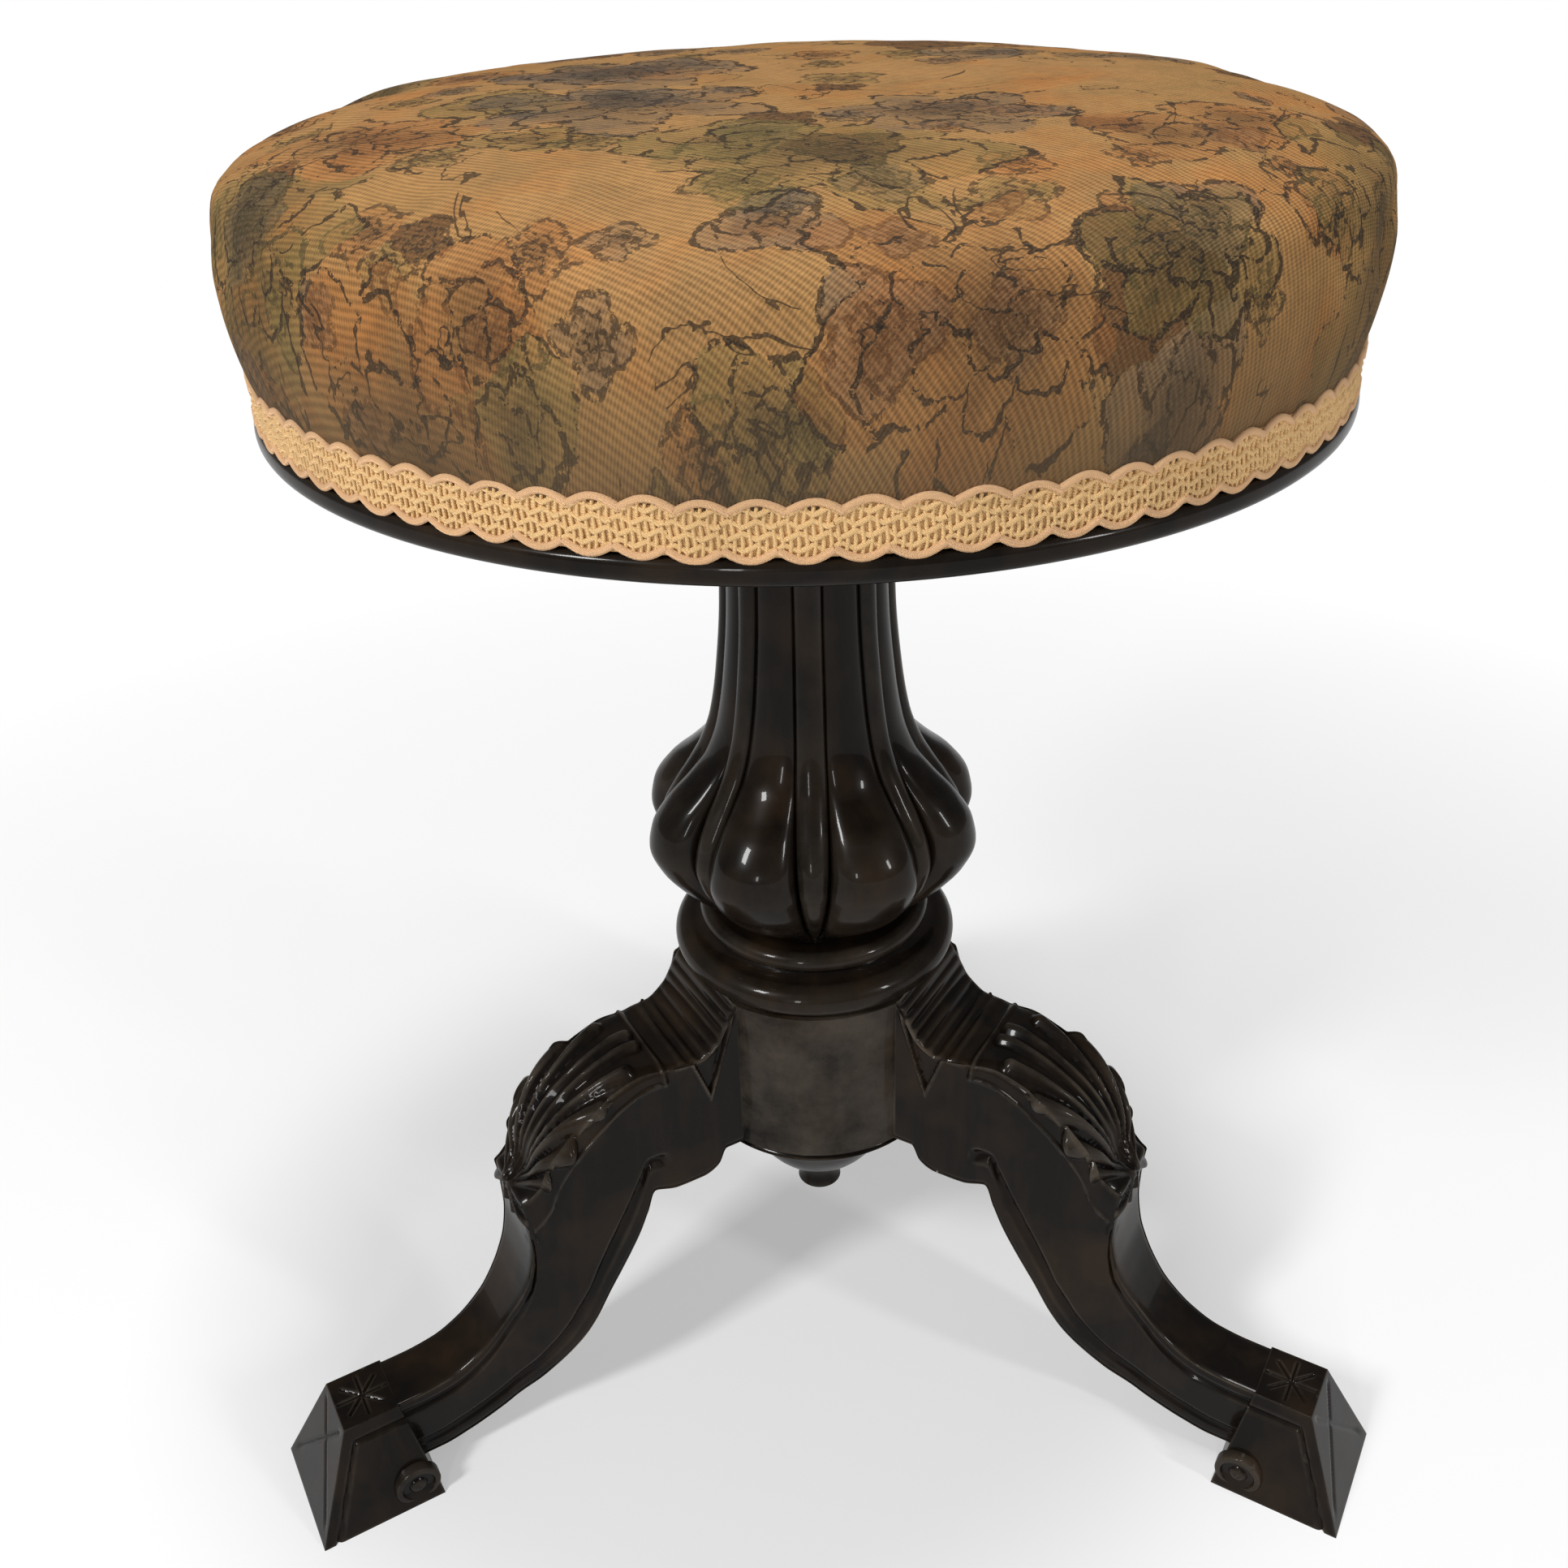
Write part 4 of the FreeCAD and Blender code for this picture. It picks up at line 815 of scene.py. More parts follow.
def make_leg_mesh():
    """One leg: a grid bent round the leg's lines, then carved point by point."""
    rows, side_count, face_count, inner_count = 330, 62, 26, 8
    ring = 2 * (side_count + face_count + inner_count)
    bpy.ops.mesh.primitive_grid_add(x_subdivisions=ring, y_subdivisions=rows - 1, size=1)
    piece = named("leg_front_left_carved")
    spots = points(piece)
    column = np.round((spots[:, 0] + 0.5) * ring).astype(int)
    row = np.round((spots[:, 1] + 0.5) * (rows - 1)).astype(int)
    outer, inner = leg_lines(rows)
    knee_start = np.argmin(np.hypot(outer[:, 0] - 74.0, outer[:, 1] - 161.4))
    outer_length = np.concatenate([[0], np.cumsum(np.hypot(*np.diff(outer, axis=0).T))])
    outer_length -= outer_length[knee_start]
    out_point, in_point, along = outer[row], inner[row], outer_length[row]
    # the ring starts at the middle of the outer face and goes round one side to the inner face
    half_ring = ring // 2
    side = np.where(column <= half_ring, 1.0, -1.0)
    spot = np.where(column <= half_ring, column, ring - column)
    face_share = np.clip(spot / face_count, 0, 1)
    side_share = np.clip((spot - face_count) / side_count, 0, 1)
    inner_share = np.clip((spot - face_count - side_count) / inner_count, 0, 1)
    side_share = 0.5 - 0.5 * np.cos(side_share * math.pi) * 0.35 + (side_share - 0.5) * 0.65
    thickness = np.hypot(*(out_point - in_point).T)
    tangent = np.gradient(outer, axis=0)
    tangent /= np.hypot(*tangent.T)[:, None]
    normal = np.stack([-tangent[:, 1], tangent[:, 0]], 1)[row]
    normal *= np.sign((normal * (out_point - in_point)).sum(1))[:, None]
    flat = out_point + (in_point - out_point) * side_share[:, None]
    half = leg_half_width(flat[:, 0])
    corner = flow([-40, -6, 2, 25, 70, 88, 110, 300], [1.5, 1.5, 5, 8.5, 8.5, 5, 3.2, 3.0], along)
    on_face = spot <= face_count
    on_inner = spot >= face_count + side_count
    # rounded outer corners: a quarter ellipse over the corner's last millimetres
    from_middle = half * face_share
    past = np.clip((from_middle - (half - corner)) / corner, 0, 1)
    face_drop = corner * (1 - np.sqrt(1 - past ** 2)) * 0.55
    from_outer = thickness * side_share
    from_inner = thickness - from_outer
    edge_in = np.clip(1 - from_outer / (corner * 0.9), 0, 1)
    side_in = corner * (1 - np.sqrt(1 - edge_in ** 2)) * 0.45
    inner_in = 2.2 * (1 - np.sqrt(1 - np.clip(1 - from_inner / 2.2, 0, 1) ** 2)) * 0.6
    across = np.where(on_face, from_middle, half * (1 - inner_share))
    across = np.where(~on_face & ~on_inner, half - side_in - inner_in, across)
    rounded = half - corner * 0.45 * step_up(face_share, 1.0, 0.05)
    across = np.where(on_face, np.minimum(across, rounded), across)
    drop = np.where(on_face, face_drop, 0)
    plane = flat - normal * (drop * on_face)[:, None]
    wrapped = np.where(on_face, from_middle, half + from_outer)
    on_side = (~on_face & ~on_inner).astype(float)
    relief = leg_relief(plane[:, 0], plane[:, 1], along, wrapped, half, from_outer, from_inner, on_side)
    relief = np.where(on_inner, 0, relief)
    blend_side = np.where(on_face, step_up(face_share, 0.85, 0.4) * 0.5,
                          1 - 0.5 * (1 - step_up(from_outer, 1.5, 3)))
    blend_side = np.where(on_inner, 0, blend_side)
    plane = plane + normal * (relief * (1 - blend_side))[:, None]
    across = across + relief * blend_side
    solid = np.stack([plane[:, 0], across * side, plane[:, 1]], 1) * MM
    set_points(piece, solid)
    activate(piece)
    mode("EDIT")
    bpy.ops.mesh.select_all(action="SELECT")
    bpy.ops.mesh.remove_doubles(threshold=2e-5)
    bpy.ops.mesh.select_all(action="DESELECT")
    mesh = bmesh.from_edit_mesh(piece.data)
    for edge in mesh.edges:
        edge.select = edge.is_boundary
    bpy.ops.mesh.edge_face_add()
    mode("OBJECT")
    return piece


def make_foot_mesh():
    """Foot: a block drawn in to a pyramid, with a star on top and a groove round its sides."""
    bpy.ops.mesh.primitive_cube_add(size=1)
    piece = named("foot_front_left")
    mode("EDIT")
    bpy.ops.mesh.select_all(action="SELECT")
    bpy.ops.mesh.subdivide(number_cuts=43)
    mode("OBJECT")
    unit = points(piece)
    up = unit[:, 2] + 0.5
    inner = SOLE_INNER + (TOP_INNER - SOLE_INNER) * up
    outer = SOLE_OUTER + (TOP_OUTER - SOLE_OUTER) * up
    half = SOLE_HALF + (TOP_HALF - SOLE_HALF) * up
    reach = inner + (outer - inner) * (unit[:, 0] + 0.5)
    across = half * 2 * unit[:, 1]
    height = FOOT_HEIGHT * up
    on_top, on_side = unit[:, 2] > 0.499, np.abs(unit[:, 1]) > 0.499
    on_end = unit[:, 0] > 0.499
    # star of eight rays
    x, y = unit[:, 0] * (TOP_OUTER - TOP_INNER), unit[:, 1] * 2 * TOP_HALF
    radius, angle = np.hypot(x, y), np.arctan2(y, x)
    ray = np.abs(((angle / (math.pi / 4)) + 0.5) % 1 - 0.5) * (math.pi / 4)
    star = step_up(9.6, radius, 1.0) * bump(radius * np.sin(ray), 0.7)
    height -= on_top * star * 0.8
    # groove along the top and the outer edge of the sides
    from_top = (1 - up) * FOOT_HEIGHT
    from_outer = (0.5 - unit[:, 0]) * (outer - inner)
    groove = np.maximum(bump(from_top - 6.5, 1.3) * (from_outer > 5),
                        bump(from_outer - 5.5, 1.3) * (from_top > 6))
    across -= np.sign(across) * on_side * groove * 1.1
    # crossed cuts on the end
    spread = SOLE_HALF + TOP_HALF
    cross = [np.abs((across * way + SOLE_HALF) * FOOT_HEIGHT - height * spread)
             / math.hypot(FOOT_HEIGHT, spread) for way in (1, -1)]
    edge_keep = step_up(0.42, np.maximum(np.abs(unit[:, 1]), np.abs(unit[:, 2])), 0.06)
    reach -= on_end * bump(np.minimum(*cross), 1.3) * 0.8 * edge_keep
    set_points(piece, np.stack([reach, across, height], 1) * MM)
    bevel = piece.modifiers.new("edges", "BEVEL")
    bevel.width, bevel.segments, bevel.angle_limit = 0.5 * MM, 2, math.radians(60)
    activate(piece)
    bpy.ops.object.modifier_apply(modifier="edges")
    return piece


def make_roundel_mesh():
    """Turned roundels on both sides of the foot, with a ring and a button."""
    radius, base, top = ROUNDEL_RADIUS * MM, 20.0 * MM, 24.3 * MM
    profile = [(radius, base), (radius, top - 0.8 * MM)]
    profile += bow(profile[-1], (radius - 1.0 * MM, top), 0.4, 3)
    profile += [(radius - 2.2 * MM, top), (radius - 2.9 * MM, top - 1.2 * MM),
                (3.6 * MM, top - 1.2 * MM)]
    profile += bow(profile[-1], (0.4 * MM, top + 0.1 * MM), 0.35, 4) + [(0, top + 0.1 * MM)]
    first = turned("roundel_front_left", profile, 48)
    second = copied(first, "roundel_other")
    middle = Vector((SOLE_INNER + ROUNDEL_RADIUS, 0, ROUNDEL_HEIGHT)) * MM
    for piece, turn in ((first, -90), (second, 90)):
        piece.data.transform(Matrix.Translation(middle) @ Matrix.Rotation(math.radians(turn), 4, "X"))
    activate(first)
    second.select_set(True)
    bpy.ops.object.join()
    return first


def make_legs(context):
    """Models one leg, foot and pair of roundels, and turns a copy to each place."""
    patterns = [(make_leg_mesh(), "leg_{}_carved"), (make_foot_mesh(), "foot_{}"),
                (make_roundel_mesh(), "roundels_{}")]
    for pattern, label in patterns:
        for where, degrees in LEGS.items():
            piece = copied(pattern, label.format(where) + "_new")
            piece.data.transform(Matrix.Rotation(math.radians(degrees), 4, "Z"))
            paint(piece, MATERIALS["carved_wood"])
            settle(piece, "base", "ebonised_wood", f"leg_{where}", angle=40)
        bpy.data.objects.remove(pattern)
    for pattern, label in patterns:
        for where in LEGS:
            piece = bpy.data.objects[label.format(where) + "_new"]
            piece.name = piece.data.name = label.format(where)


# Turned parts

def make_turnings(context):
    """Collar and pendant."""
    hub_top, bottom = high("hub_block"), low("hub_block")
    outer, shoulder = wide("column_collar"), high("column_collar")
    thick = 6.1 * MM
    start = (outer - thick, hub_top)
    profile = [(20 * MM, hub_top), start]
    profile += bow(start, (outer - thick, hub_top + 2 * thick), 0.999, 16)
    profile += bow(profile[-1], (41.6 * MM, shoulder - 7.0 * MM), -0.25, 6)
    profile += bow(profile[-1], (38.4 * MM, shoulder - 0.2 * MM), 0.9, 10) + [(20 * MM, shoulder)]
    collar = turned("collar_turning", profile, 160)
    paint(collar, MATERIALS["ebonised_wood"])
    settle(collar, "base", "ebonised_wood", "column_collar", angle=50)
    hub_wide, tip = wide("hub_block"), low("base_pendant")
    start = (hub_wide - 2.4 * MM, bottom)
    profile = [(10 * MM, bottom), start] + bow(start, (hub_wide - 2.8 * MM, bottom - 5.5 * MM), 0.8, 8)
    profile += [(hub_wide - 5.5 * MM, bottom - 6 * MM)]
    profile += bow(profile[-1], (31 * MM, tip + 40 * MM), 0.12, 8)
    profile += bow(profile[-1], (13 * MM, tip + 16 * MM), -0.15, 8)
    profile += [(12 * MM, tip + 15 * MM)]
    profile += bow(profile[-1], (9 * MM, tip + 2 * MM), 0.35, 8)
    profile += bow(profile[-1], (6 * MM, tip), 0.4, 3)
    profile += [(0, tip)]
    pendant = turned("pendant_turning", profile, 96)
    paint(pendant, MATERIALS["ebonised_wood"])
    settle(pendant, "base", "ebonised_wood", "base_pendant", angle=40)


def make_hub(context):
    """The turned hub keeps its solid, and gets the polished wood."""
    paint(frame["nodes"]["hub_block"], MATERIALS["ebonised_wood"])


def make_board(context):
    """Seat board with its rounded black edge."""
    box_low, box_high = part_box("seat_board")
    outer, under = box_high.x, box_low.z
    rim_top = low("gimp_braid") - 0.3 * MM
    inside = wide("tapestry_cover") - 9.5 * MM
    bore = wide("seat_screw") + 0.1 * MM
    profile = [(bore, under), (outer - 2.6 * MM, under)]
    profile += bow(profile[-1], (outer - 0.1 * MM, under + 2.6 * MM), 0.41, 5)
    profile += bow(profile[-1], (outer - 0.2 * MM, rim_top - 2.2 * MM), 0.06, 3)
    profile += bow(profile[-1], (outer - 2.4 * MM, rim_top), 0.41, 5)
    profile += [(inside, rim_top), (inside, box_high.z), (bore, box_high.z), (bore, under)]
    board = turned("seat_board_turning", profile, 220)
    paint(board, MATERIALS["rim_wood"])
    settle(board, "seat", "ebonised_wood", "seat_board", angle=40)


# Ironwork

def make_ironwork(context):
    """Threaded screw; nut, flange, rivets and screws keep their solids."""
    sizes = context.scene.stool_sizes
    thread_low, thread_high = low("seat_screw") + 18.5 * MM, low("seat_flange") + 1.0 * MM
    radius, pitch = wide("seat_screw"), sizes.thread_pitch
    root = radius - 2.2 * MM
    sides, per_turn = 48, 12
    turns = (thread_high - thread_low) / pitch
    rows = int(turns * per_turn) + 1
    profile = [(radius, thread_low + (thread_high - thread_low) * k / rows) for k in range(rows + 1)]
    spigot = 6.5 * MM
    tip, top = low("seat_screw"), high("seat_screw")
    foot = [(0, tip), (spigot - 1 * MM, tip), (spigot, tip + 1 * MM), (spigot, thread_low - 0.2 * MM),
            (root, thread_low - 0.2 * MM)]
    piece = turned("seat_screw_thread", foot + profile + [(radius, top), (0, top)], sides)
    spots = points(piece)
    body = (spots[:, 2] > thread_low - 0.1 * MM) & (spots[:, 2] < thread_high + 0.1 * MM)
    angle = np.arctan2(spots[:, 1], spots[:, 0])
    phase = ((spots[:, 2] - thread_low) / pitch - angle / (2 * math.pi)) % 1
    tooth = np.clip((np.abs(phase - 0.5) - 0.14) / 0.14, 0, 1)
    scale = (root + (radius - root) * tooth) / np.maximum(np.hypot(spots[:, 0], spots[:, 1]), 1e-9)
    spots[body, :2] *= scale[body][:, None]
    set_points(piece, spots)
    paint(piece, MATERIALS["screw_iron"])
    settle(piece, "seat", "screw_iron", "seat_screw", angle=50)
    finishes = {"nut_brass": ["screw_nut"], "screw_iron": ["stop_washer"],
                "flange_iron": ["seat_flange"], "raw_wood": ["leg_dowels"],
                "fixing_steel": ["nut_screws", "washer_pin", "flange_rivet", "flange_screws",
                                 "cover_tacks"]}
    for finish, nodes in finishes.items():
        for node in nodes:
            paint(frame["nodes"][node], MATERIALS[finish])


# Upholstery

def dome_profile(foot, widest, base, swell, crown, count=18):
    """Outer line of the stuffed seat, from its foot to the middle of its crown."""
    line = [(foot, base)] + bow((foot, base), (widest, swell), 0.12, 8)
    for k in range(1, count + 1):
        share = math.sin(k / count * math.pi / 2)
        line.append((widest * (1 - share ** 3.3) ** (1 / 3.3) if k < count else 0.0,
                     swell + (crown - swell) * share))
    top = line[-2]
    inward = [(top[0] * k, crown - (crown - top[1]) * k * k) for k in (0.85, 0.65, 0.45, 0.25, 0.1)]
    return line[:-1] + inward + [(0, crown)]


def simulate(piece, cap):
    """Lets the closed form swell as stuffed cloth, held within a cap of where it was."""
    activate(piece)
    before = points(piece).copy()
    cloth = piece.modifiers.new("stuffing", "CLOTH")
    settings = cloth.settings
    settings.quality = 5
    settings.mass = 0.35
    settings.tension_stiffness = settings.compression_stiffness = 22.0
    settings.shear_stiffness, settings.bending_stiffness = 12.0, 1.2
    settings.use_pressure = True
    settings.uniform_pressure_force = 4.0
    settings.effector_weights.gravity = 0.0
    pins = piece.vertex_groups.new(name="pins")
    low_end = before[:, 2].min()
    pins.add([int(i) for i in np.where(before[:, 2] < low_end + 9 * MM)[0]], 1.0, "REPLACE")
    settings.vertex_group_mass = "pins"
    cloth.point_cache.frame_start, cloth.point_cache.frame_end = 1, 20
    for number in range(1, 21):
        bpy.context.scene.frame_set(number)
    bpy.ops.object.modifier_apply(modifier="stuffing")
    bpy.context.scene.frame_set(1)
    piece.vertex_groups.clear()
    after = points(piece)
    move = after - before
    length = np.linalg.norm(move, axis=1, keepdims=True)
    set_points(piece, before + move * np.minimum(1, cap / np.maximum(length, 1e-9)))


def lay_cloth_map(piece, crown):
    """A map that follows the cloth: from the crown outwards, and on down the sides."""
    spots = points(piece)
    radius = np.hypot(spots[:, 0], spots[:, 1])
    run = radius + 0.85 * np.maximum(0, crown - spots[:, 2])
    share = run / np.maximum(radius, 1e-6)
    flat = np.stack([spots[:, 0] * share, spots[:, 1] * share], 1)
    layer = piece.data.uv_layers.get("cloth") or piece.data.uv_layers.new(name="cloth")
    corners = np.empty(len(piece.data.loops), int)
    piece.data.loops.foreach_get("vertex_index", corners)
    layer.data.foreach_set("uv", flat[corners].ravel())


def make_cushion(context):
    """Stuffed seat: horsehair, calico and the tapestry cover, which is swollen as cloth."""
    board_top, base = high("seat_board"), low("tapestry_cover")
    crown, widest = high("tapestry_cover"), wide("tapestry_cover")
    foot = widest - 6.5 * MM
    swell = board_top + 40 * MM
    play = 1.6 * MM
    line = dome_profile(foot - play, widest - play, base + 3 * MM, swell, crown - play)
    rim = [(0.0, base), (foot - play - 6 * MM, base), (foot - play, base)]
    cover = turned("tapestry_cushion", rim + line, 120)
    activate(cover)
    remesh = cover.modifiers.new("even", "REMESH")
    remesh.mode, remesh.voxel_size = "VOXEL", 4.5 * MM
    bpy.ops.object.modifier_apply(modifier="even")
    simulate(cover, 2.2 * MM)
    smooth = cover.modifiers.new("round", "SUBSURF")
    smooth.levels = smooth.render_levels = 1
    bpy.ops.object.modifier_apply(modifier="round")
    spots = points(cover)
    ruffle(spots, base, crown, foot)
    set_points(cover, spots)
    lay_cloth_map(cover, crown)
    paint(cover, MATERIALS["tapestry"])
    settle(cover, "seat", "tapestry", "tapestry_cover", angle=80)
    for name, node, inset, finish in (("calico_cover", "calico_undercover", 8.0 * MM, "calico"),
                                      ("horsehair_wad", "hair_stuffing", 10.5 * MM, "horsehair")):
        line = dome_profile(foot - inset, widest - inset, board_top + 1 * MM, swell, crown - inset)
        rim = [(0.0, board_top + 0.4 * MM), (foot - inset - 1 * MM, board_top + 0.4 * MM)]
        inner = turned(name, rim + line, 96)
        paint(inner, MATERIALS[finish])
        settle(inner, "seat", finish, node, angle=60)


def ruffle(spots, base, crown, foot):
    """Soft unevenness of old stuffing, and the pull of the tacks along the foot."""
    angle = np.arctan2(spots[:, 1], spots[:, 0])
    radius = np.hypot(spots[:, 0], spots[:, 1])
    up = np.clip((spots[:, 2] - base) / (crown - base), 0, 1)
    pull = np.sin(angle * 18 + 0.6 * np.sin(angle * 5)) * np.exp(-((up - 0.3) / 0.22) ** 2)
    slow = np.sin(angle * 3 + 1.1) * 0.6 + np.sin(angle * 7 + 2.0) * 0.4
    side = np.clip((radius - 0.1) / 0.05, 0, 1)
    grow = 1 + (0.35 * MM * pull + 0.7 * MM * slow * up) * side / foot
    spots[:, 0] *= grow
    spots[:, 1] *= grow
    hollows = 1 + np.sin(spots[:, 0] * 31 + 1) * np.cos(spots[:, 1] * 27)
    spots[:, 2] -= 0.8 * MM * (1 - side) * hollows * up


def make_braid(context):
    """Gimp braid: one scallop of looped cords, copied round the seat's foot."""
    sizes = context.scene.stool_sizes
    count, yarn = sizes.scallops, sizes.yarn / 2
    bottom, top = low("gimp_braid") - 1.3 * MM, high("gimp_braid") + 2.0 * MM
    radius = wide("gimp_braid")
    middle, half_height = (bottom + top) / 2, (top - bottom) / 2
    pitch = 2 * math.pi * radius / count
    seat_radius = radius - 1.0 * MM
    backing = turned("braid_backing", [
        (seat_radius - 1.2 * MM, bottom + 1.6 * MM), (seat_radius - 0.1 * MM, bottom + 1.6 * MM),
        (seat_radius - 0.1 * MM, top - 1.6 * MM), (seat_radius - 1.2 * MM, top - 1.6 * MM),
        (seat_radius - 1.2 * MM, bottom + 1.6 * MM)], 240)
    paint(backing, MATERIALS["braid"])
    settle(backing, "seat", "braid", "gimp_braid", angle=40)

    def scallop(side, shift, depth):
        """One bow of the outer cord, on the lower side (-1) or the upper (1)."""
        bows = [(k / 10, depth * (1 - math.sin(k / 10 * math.pi))) for k in range(11)]
        return [(shift - 0.5 + share, side * (half_height - yarn - dip), 0.5 * MM) for share, dip in bows]

    edges = [(scallop(-1, 0.0, 2.6 * MM), yarn), (scallop(1, 0.16, 2.4 * MM), yarn)]
    weave = []
    for row in range(4):
        level = -half_height + 3.9 * MM + row * (half_height * 2 - 7.4 * MM) / 3
        turns = [(k / 2 + row) * math.pi for k in range(9)]
        route = [(k / 8 - 0.5, level + 0.75 * MM * math.sin(turn), (0.15 + 0.35 * math.cos(turn)) * MM)
                 for k, turn in enumerate(turns)]
        weave.append((route, yarn * 0.72))
    for k in range(7):
        share = (k + 0.5) / 7
        edge = 2.3 * MM * (1 - math.sin(share * math.pi))
        stops = ((0.0, -half_height + yarn + edge, 0.1), (0.03, -half_height * 0.35, 0.35),
                 (-0.03, half_height * 0.3, 0.1), (0.0, half_height - yarn - 1.2 * MM, 0.2))
        weave.append(([(share - 0.5 + aside, level, lift * MM) for aside, level, lift in stops],
                      yarn * 0.5))
    for label, members, finish in (("braid_edge_cord", edges, "braid_cord"),
                                   ("braid_weave", weave, "braid")):
        pattern = sweep(label, members, pitch)
        spots, faces = points(pattern), [tuple(face.vertices) for face in pattern.data.polygons]
        all_spots, all_faces = [], []
        for copy in range(count):
            around = spots[:, 0] / seat_radius + copy * 2 * math.pi / count
            reach = seat_radius + spots[:, 1]
            tilt = 0.25 * MM * math.sin(copy * 2.7) + 0.2 * MM * math.sin(copy * 0.9)
            ring = np.stack([reach * np.sin(around), -reach * np.cos(around),
                             middle + spots[:, 2] + tilt], 1)
            all_faces += [tuple(v + copy * len(spots) for v in face) for face in faces]
            all_spots.append(ring)
        pattern.data.clear_geometry()
        pattern.data.from_pydata(np.concatenate(all_spots).tolist(), [], all_faces)
        paint(pattern, MATERIALS[finish])
        settle(pattern, "seat", "braid", angle=70)


def sweep(name, strands, pitch):
    """Cords as bevelled curves, made one mesh: share of a pitch, level and lift for each point."""
    curve = bpy.data.curves.new(name, "CURVE")
    curve.dimensions = "3D"
    curve.use_fill_caps = True
    curve.bevel_depth = 1.0
    curve.bevel_resolution = 1
    for route, thick in strands:
        spline = curve.splines.new("POLY")
        spline.points.add(len(route) - 1)
        for point, (share, level, lift) in zip(spline.points, route):
            point.co = (share * pitch, lift, level, 1)
            point.radius = thick
    holder = bpy.data.objects.new(name, curve)
    bpy.context.scene.collection.objects.link(holder)
    activate(holder)
    bpy.ops.object.convert(target="MESH")
    return bpy.context.object


# Stage

def make_stage(context):
    """Pale floor, soft lamps and the camera at the photograph's place."""
    colours = context.scene.stool_colours
    bpy.ops.mesh.primitive_plane_add(size=40)
    floor = named("floor")
    material, tree, shader = new_material("pale_floor")
    shader.inputs["Base Color"].default_value = (*colours.floor, 1.0)
    shader.inputs["Roughness"].default_value = 0.9
    shader.inputs["Specular IOR Level"].default_value = 0.0
    rays = tree.add("LightPath")
    seen = tree.math("MAXIMUM", rays.outputs["Is Camera Ray"], rays.outputs["Is Glossy Ray"])
    seen = tree.math("MAXIMUM", seen, rays.outputs["Is Transmission Ray"])
    glow = tree.add("Emission", in_Color=(1.0, 1.0, 1.0), in_Strength=1.0)
    away = tree.add("VectorMath", operation="LENGTH", in_0=place_of(tree)).outputs["Value"]
    white = tree.span(away, 0.26, 0.8, 0.35, 1.0)
    mixed = tree.add("MixShader", in_0=tree.math("MULTIPLY", seen, white))
    tree.feed(mixed.inputs[1], shader.outputs[0])
    tree.feed(mixed.inputs[2], glow.outputs[0])
    tree.feed(material.node_tree.nodes["Material Output"].inputs[0], mixed.outputs[0])
    paint(floor, material)
    world = bpy.data.worlds.new("studio")
    context.scene.world = world
    world.use_nodes = True
    plain = world.node_tree.nodes["Background"]
    plain.inputs[0].default_value, plain.inputs[1].default_value = (1, 1, 1, 1), WORLD_STRENGTH
    aim = Vector((0, 0, 0.25))
    for name, place, size, power in LAMPS:
        lamp = bpy.data.lights.new(name, "AREA")
        lamp.shape, lamp.size, lamp.size_y, lamp.energy = "RECTANGLE", *size, power
        holder = bpy.data.objects.new(name, lamp)
        holder.location = place
        holder.rotation_euler = (aim - Vector(place)).to_track_quat("-Z", "Y").to_euler()
        context.scene.collection.objects.link(holder)
    context.scene.view_settings.view_transform = "Standard"
    place_camera(context)


def place_camera(context):
    """The photograph's view: in front, close and from above."""
    pitch, roll, yaw = CAMERA_PITCH, CAMERA_ROLL, CAMERA_YAW
    camera = bpy.data.cameras.new("camera")
    camera.lens, camera.sensor_width = LENS, SENSOR
    camera.clip_start = 0.01
    ahead = Vector((math.sin(yaw) * math.cos(pitch), math.cos(yaw) * math.cos(pitch), -math.sin(pitch)))
    right = Vector((math.cos(yaw), -math.sin(yaw), 0.0))
    up = right.cross(ahead)
    across = right * math.cos(roll) + up * math.sin(roll)
    upward = up * math.cos(roll) - right * math.sin(roll)
    holder = bpy.data.objects.new("camera", camera)
    matrix = Matrix((across, upward, -ahead)).transposed().to_4x4()
    matrix.translation = Vector((0.0, -CAMERA_AWAY, CAMERA_HEIGHT))
    holder.matrix_world = matrix
    context.scene.collection.objects.link(holder)
    context.scene.camera = holder


# Operators

def carry_out(make, context):
    """Runs a maker for its operator, with the materials made first."""
    if not MATERIALS:
        MATERIALS.update(make_materials(context))
    make(context)
    return {"FINISHED"}


class STOOL_OT_stage(bpy.types.Operator):
    """Pale floor, lamps and the camera"""
    bl_idname = "stool.stage"
    bl_label = "Stage"

    def execute(self, context):
        return carry_out(make_stage, context)


class STOOL_OT_hub(bpy.types.Operator):
    """Turned hub that carries the legs"""
    bl_idname = "stool.hub"
    bl_label = "Hub"

    def execute(self, context):
        return carry_out(make_hub, context)


class STOOL_OT_turnings(bpy.types.Operator):
    """Turned collar over the hub and pendant under it"""
    bl_idname = "stool.turnings"
    bl_label = "Collar and pendant"

    def execute(self, context):
        return carry_out(make_turnings, context)


class STOOL_OT_column(bpy.types.Operator):
    """Baluster with its lobes and reeds"""
    bl_idname = "stool.column"
    bl_label = "Lobed column"

    def execute(self, context):
        return carry_out(make_column, context)


class STOOL_OT_legs(bpy.types.Operator):
    """Three carved legs with their feet and roundels"""
    bl_idname = "stool.legs"
    bl_label = "Carved legs"

    def execute(self, context):
        return carry_out(make_legs, context)


class STOOL_OT_ironwork(bpy.types.Operator):
    """Threaded screw, nut, flange and fixings"""
    bl_idname = "stool.ironwork"
    bl_label = "Screw and fittings"

    def execute(self, context):
        return carry_out(make_ironwork, context)


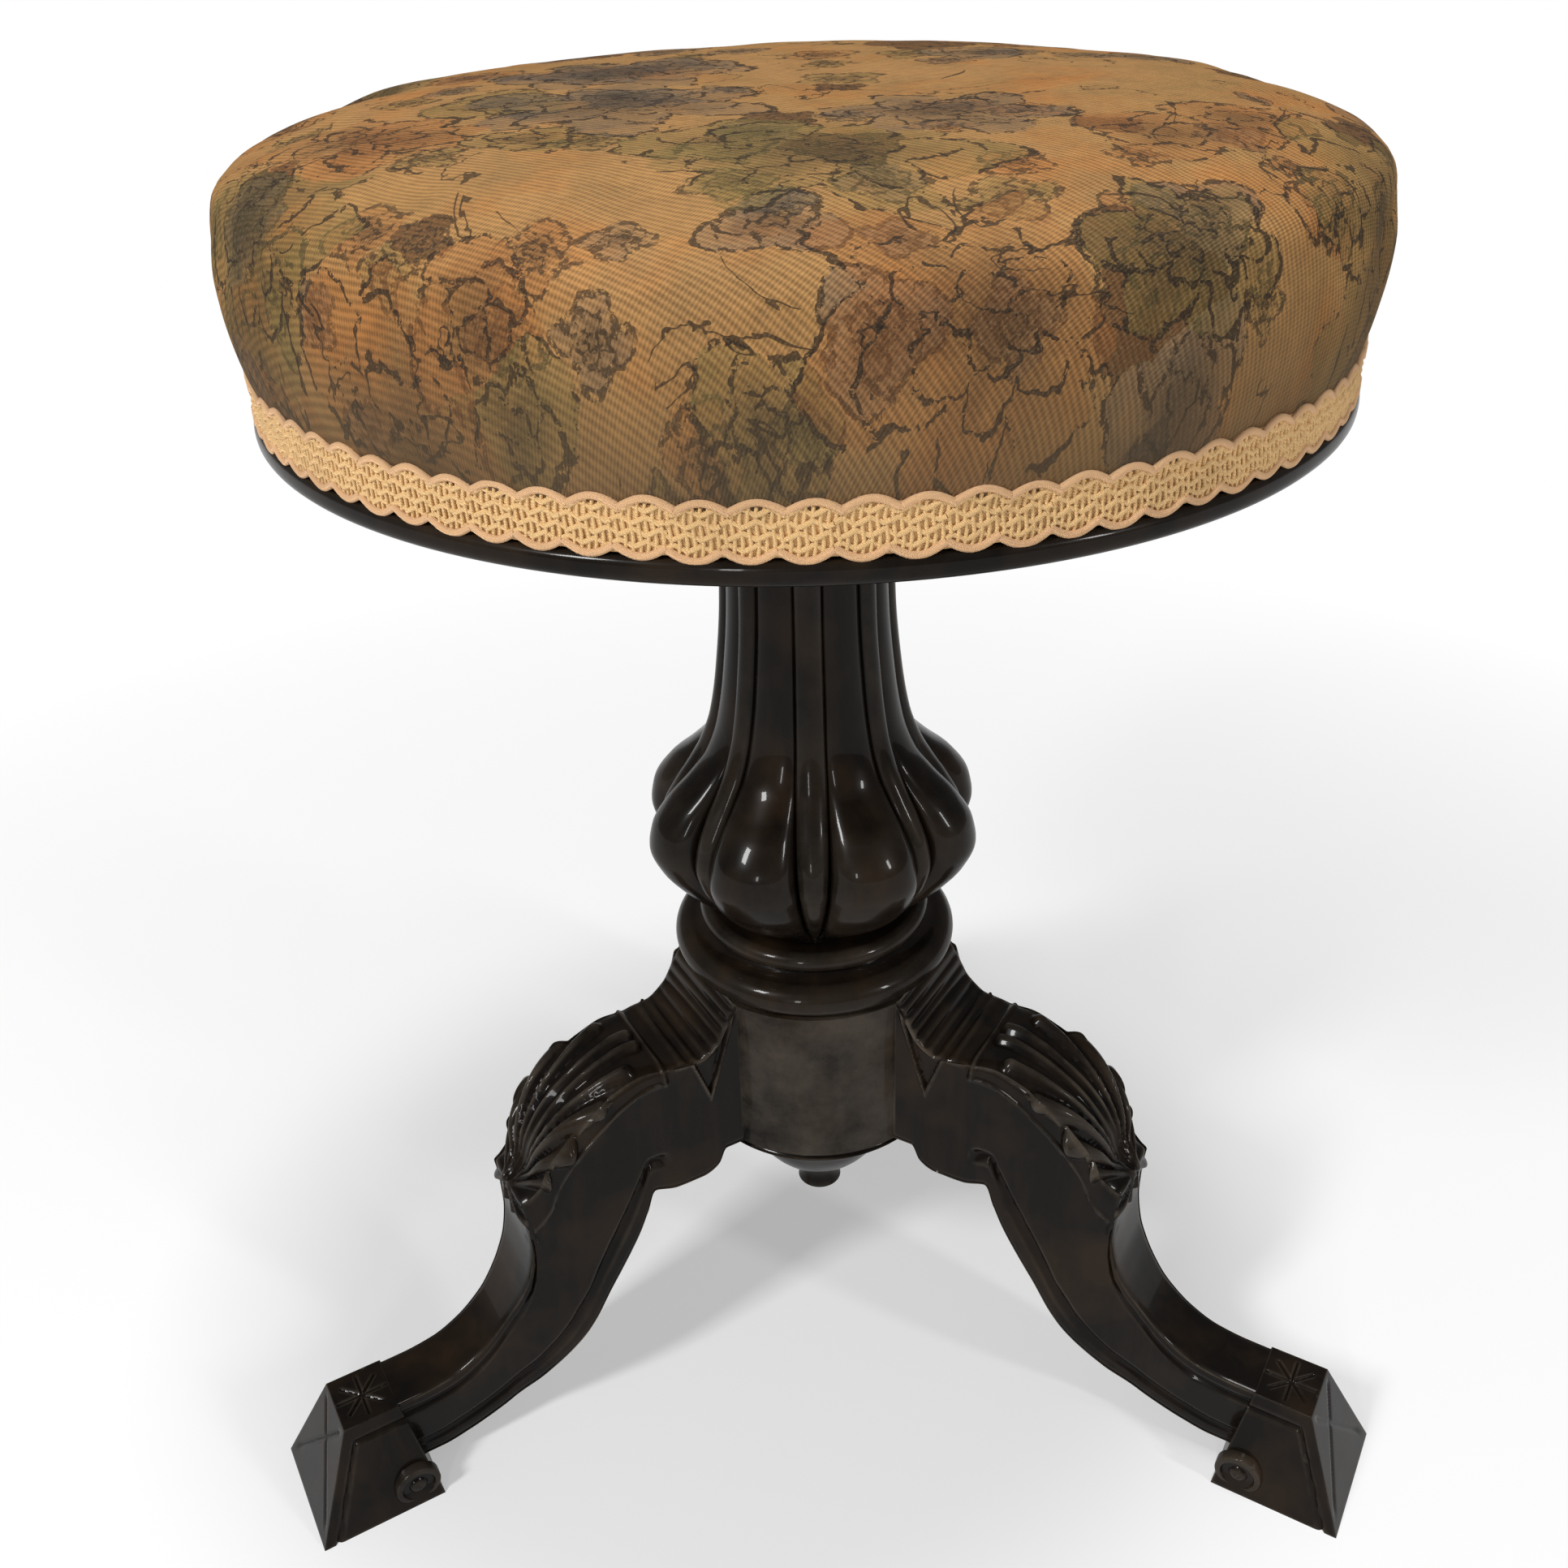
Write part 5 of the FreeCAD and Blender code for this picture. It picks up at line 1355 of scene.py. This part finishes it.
class STOOL_OT_board(bpy.types.Operator):
    """Board of the seat with its black edge"""
    bl_idname = "stool.board"
    bl_label = "Seat board"

    def execute(self, context):
        return carry_out(make_board, context)


class STOOL_OT_cushion(bpy.types.Operator):
    """Stuffing, undercover and tapestry"""
    bl_idname = "stool.cushion"
    bl_label = "Cushion"

    def execute(self, context):
        return carry_out(make_cushion, context)


class STOOL_OT_braid(bpy.types.Operator):
    """Scalloped braid round the seat's foot"""
    bl_idname = "stool.braid"
    bl_label = "Braid"

    def execute(self, context):
        return carry_out(make_braid, context)


OPERATORS = [STOOL_OT_stage, STOOL_OT_hub, STOOL_OT_turnings, STOOL_OT_column,
             STOOL_OT_legs, STOOL_OT_ironwork, STOOL_OT_board, STOOL_OT_cushion,
             STOOL_OT_braid]


class STOOL_PT_panel(bpy.types.Panel):
    """Sizes, colours and the makers of the pieces."""
    bl_idname = "STOOL_PT_panel"
    bl_label = "Music stool"
    bl_space_type = "VIEW_3D"
    bl_region_type = "UI"
    bl_category = "Stool"

    def draw(self, context):
        for group in (context.scene.stool_sizes, context.scene.stool_colours):
            for name in group.bl_rna.properties.keys():
                if name not in ("rna_type", "name"):
                    self.layout.prop(group, name)
        for made in OPERATORS:
            self.layout.operator(made.bl_idname)


CLASSES = [StoolSizes, StoolColours, *OPERATORS, STOOL_PT_panel]


def register():
    """Adds the classes and the settings they read."""
    for item in CLASSES:
        bpy.utils.register_class(item)
    bpy.types.Scene.stool_sizes = PointerProperty(type=StoolSizes)
    bpy.types.Scene.stool_colours = PointerProperty(type=StoolColours)


def unregister():
    """Takes them away again."""
    del bpy.types.Scene.stool_colours, bpy.types.Scene.stool_sizes
    for item in reversed(CLASSES):
        bpy.utils.unregister_class(item)


def main():
    """Makes every piece in order."""
    register()
    bpy.ops.stool.stage()
    bpy.ops.stool.hub()
    bpy.ops.stool.turnings()
    bpy.ops.stool.column()
    bpy.ops.stool.legs()
    bpy.ops.stool.ironwork()
    bpy.ops.stool.board()
    bpy.ops.stool.cushion()
    bpy.ops.stool.braid()


if __name__ == "__main__":
    main()
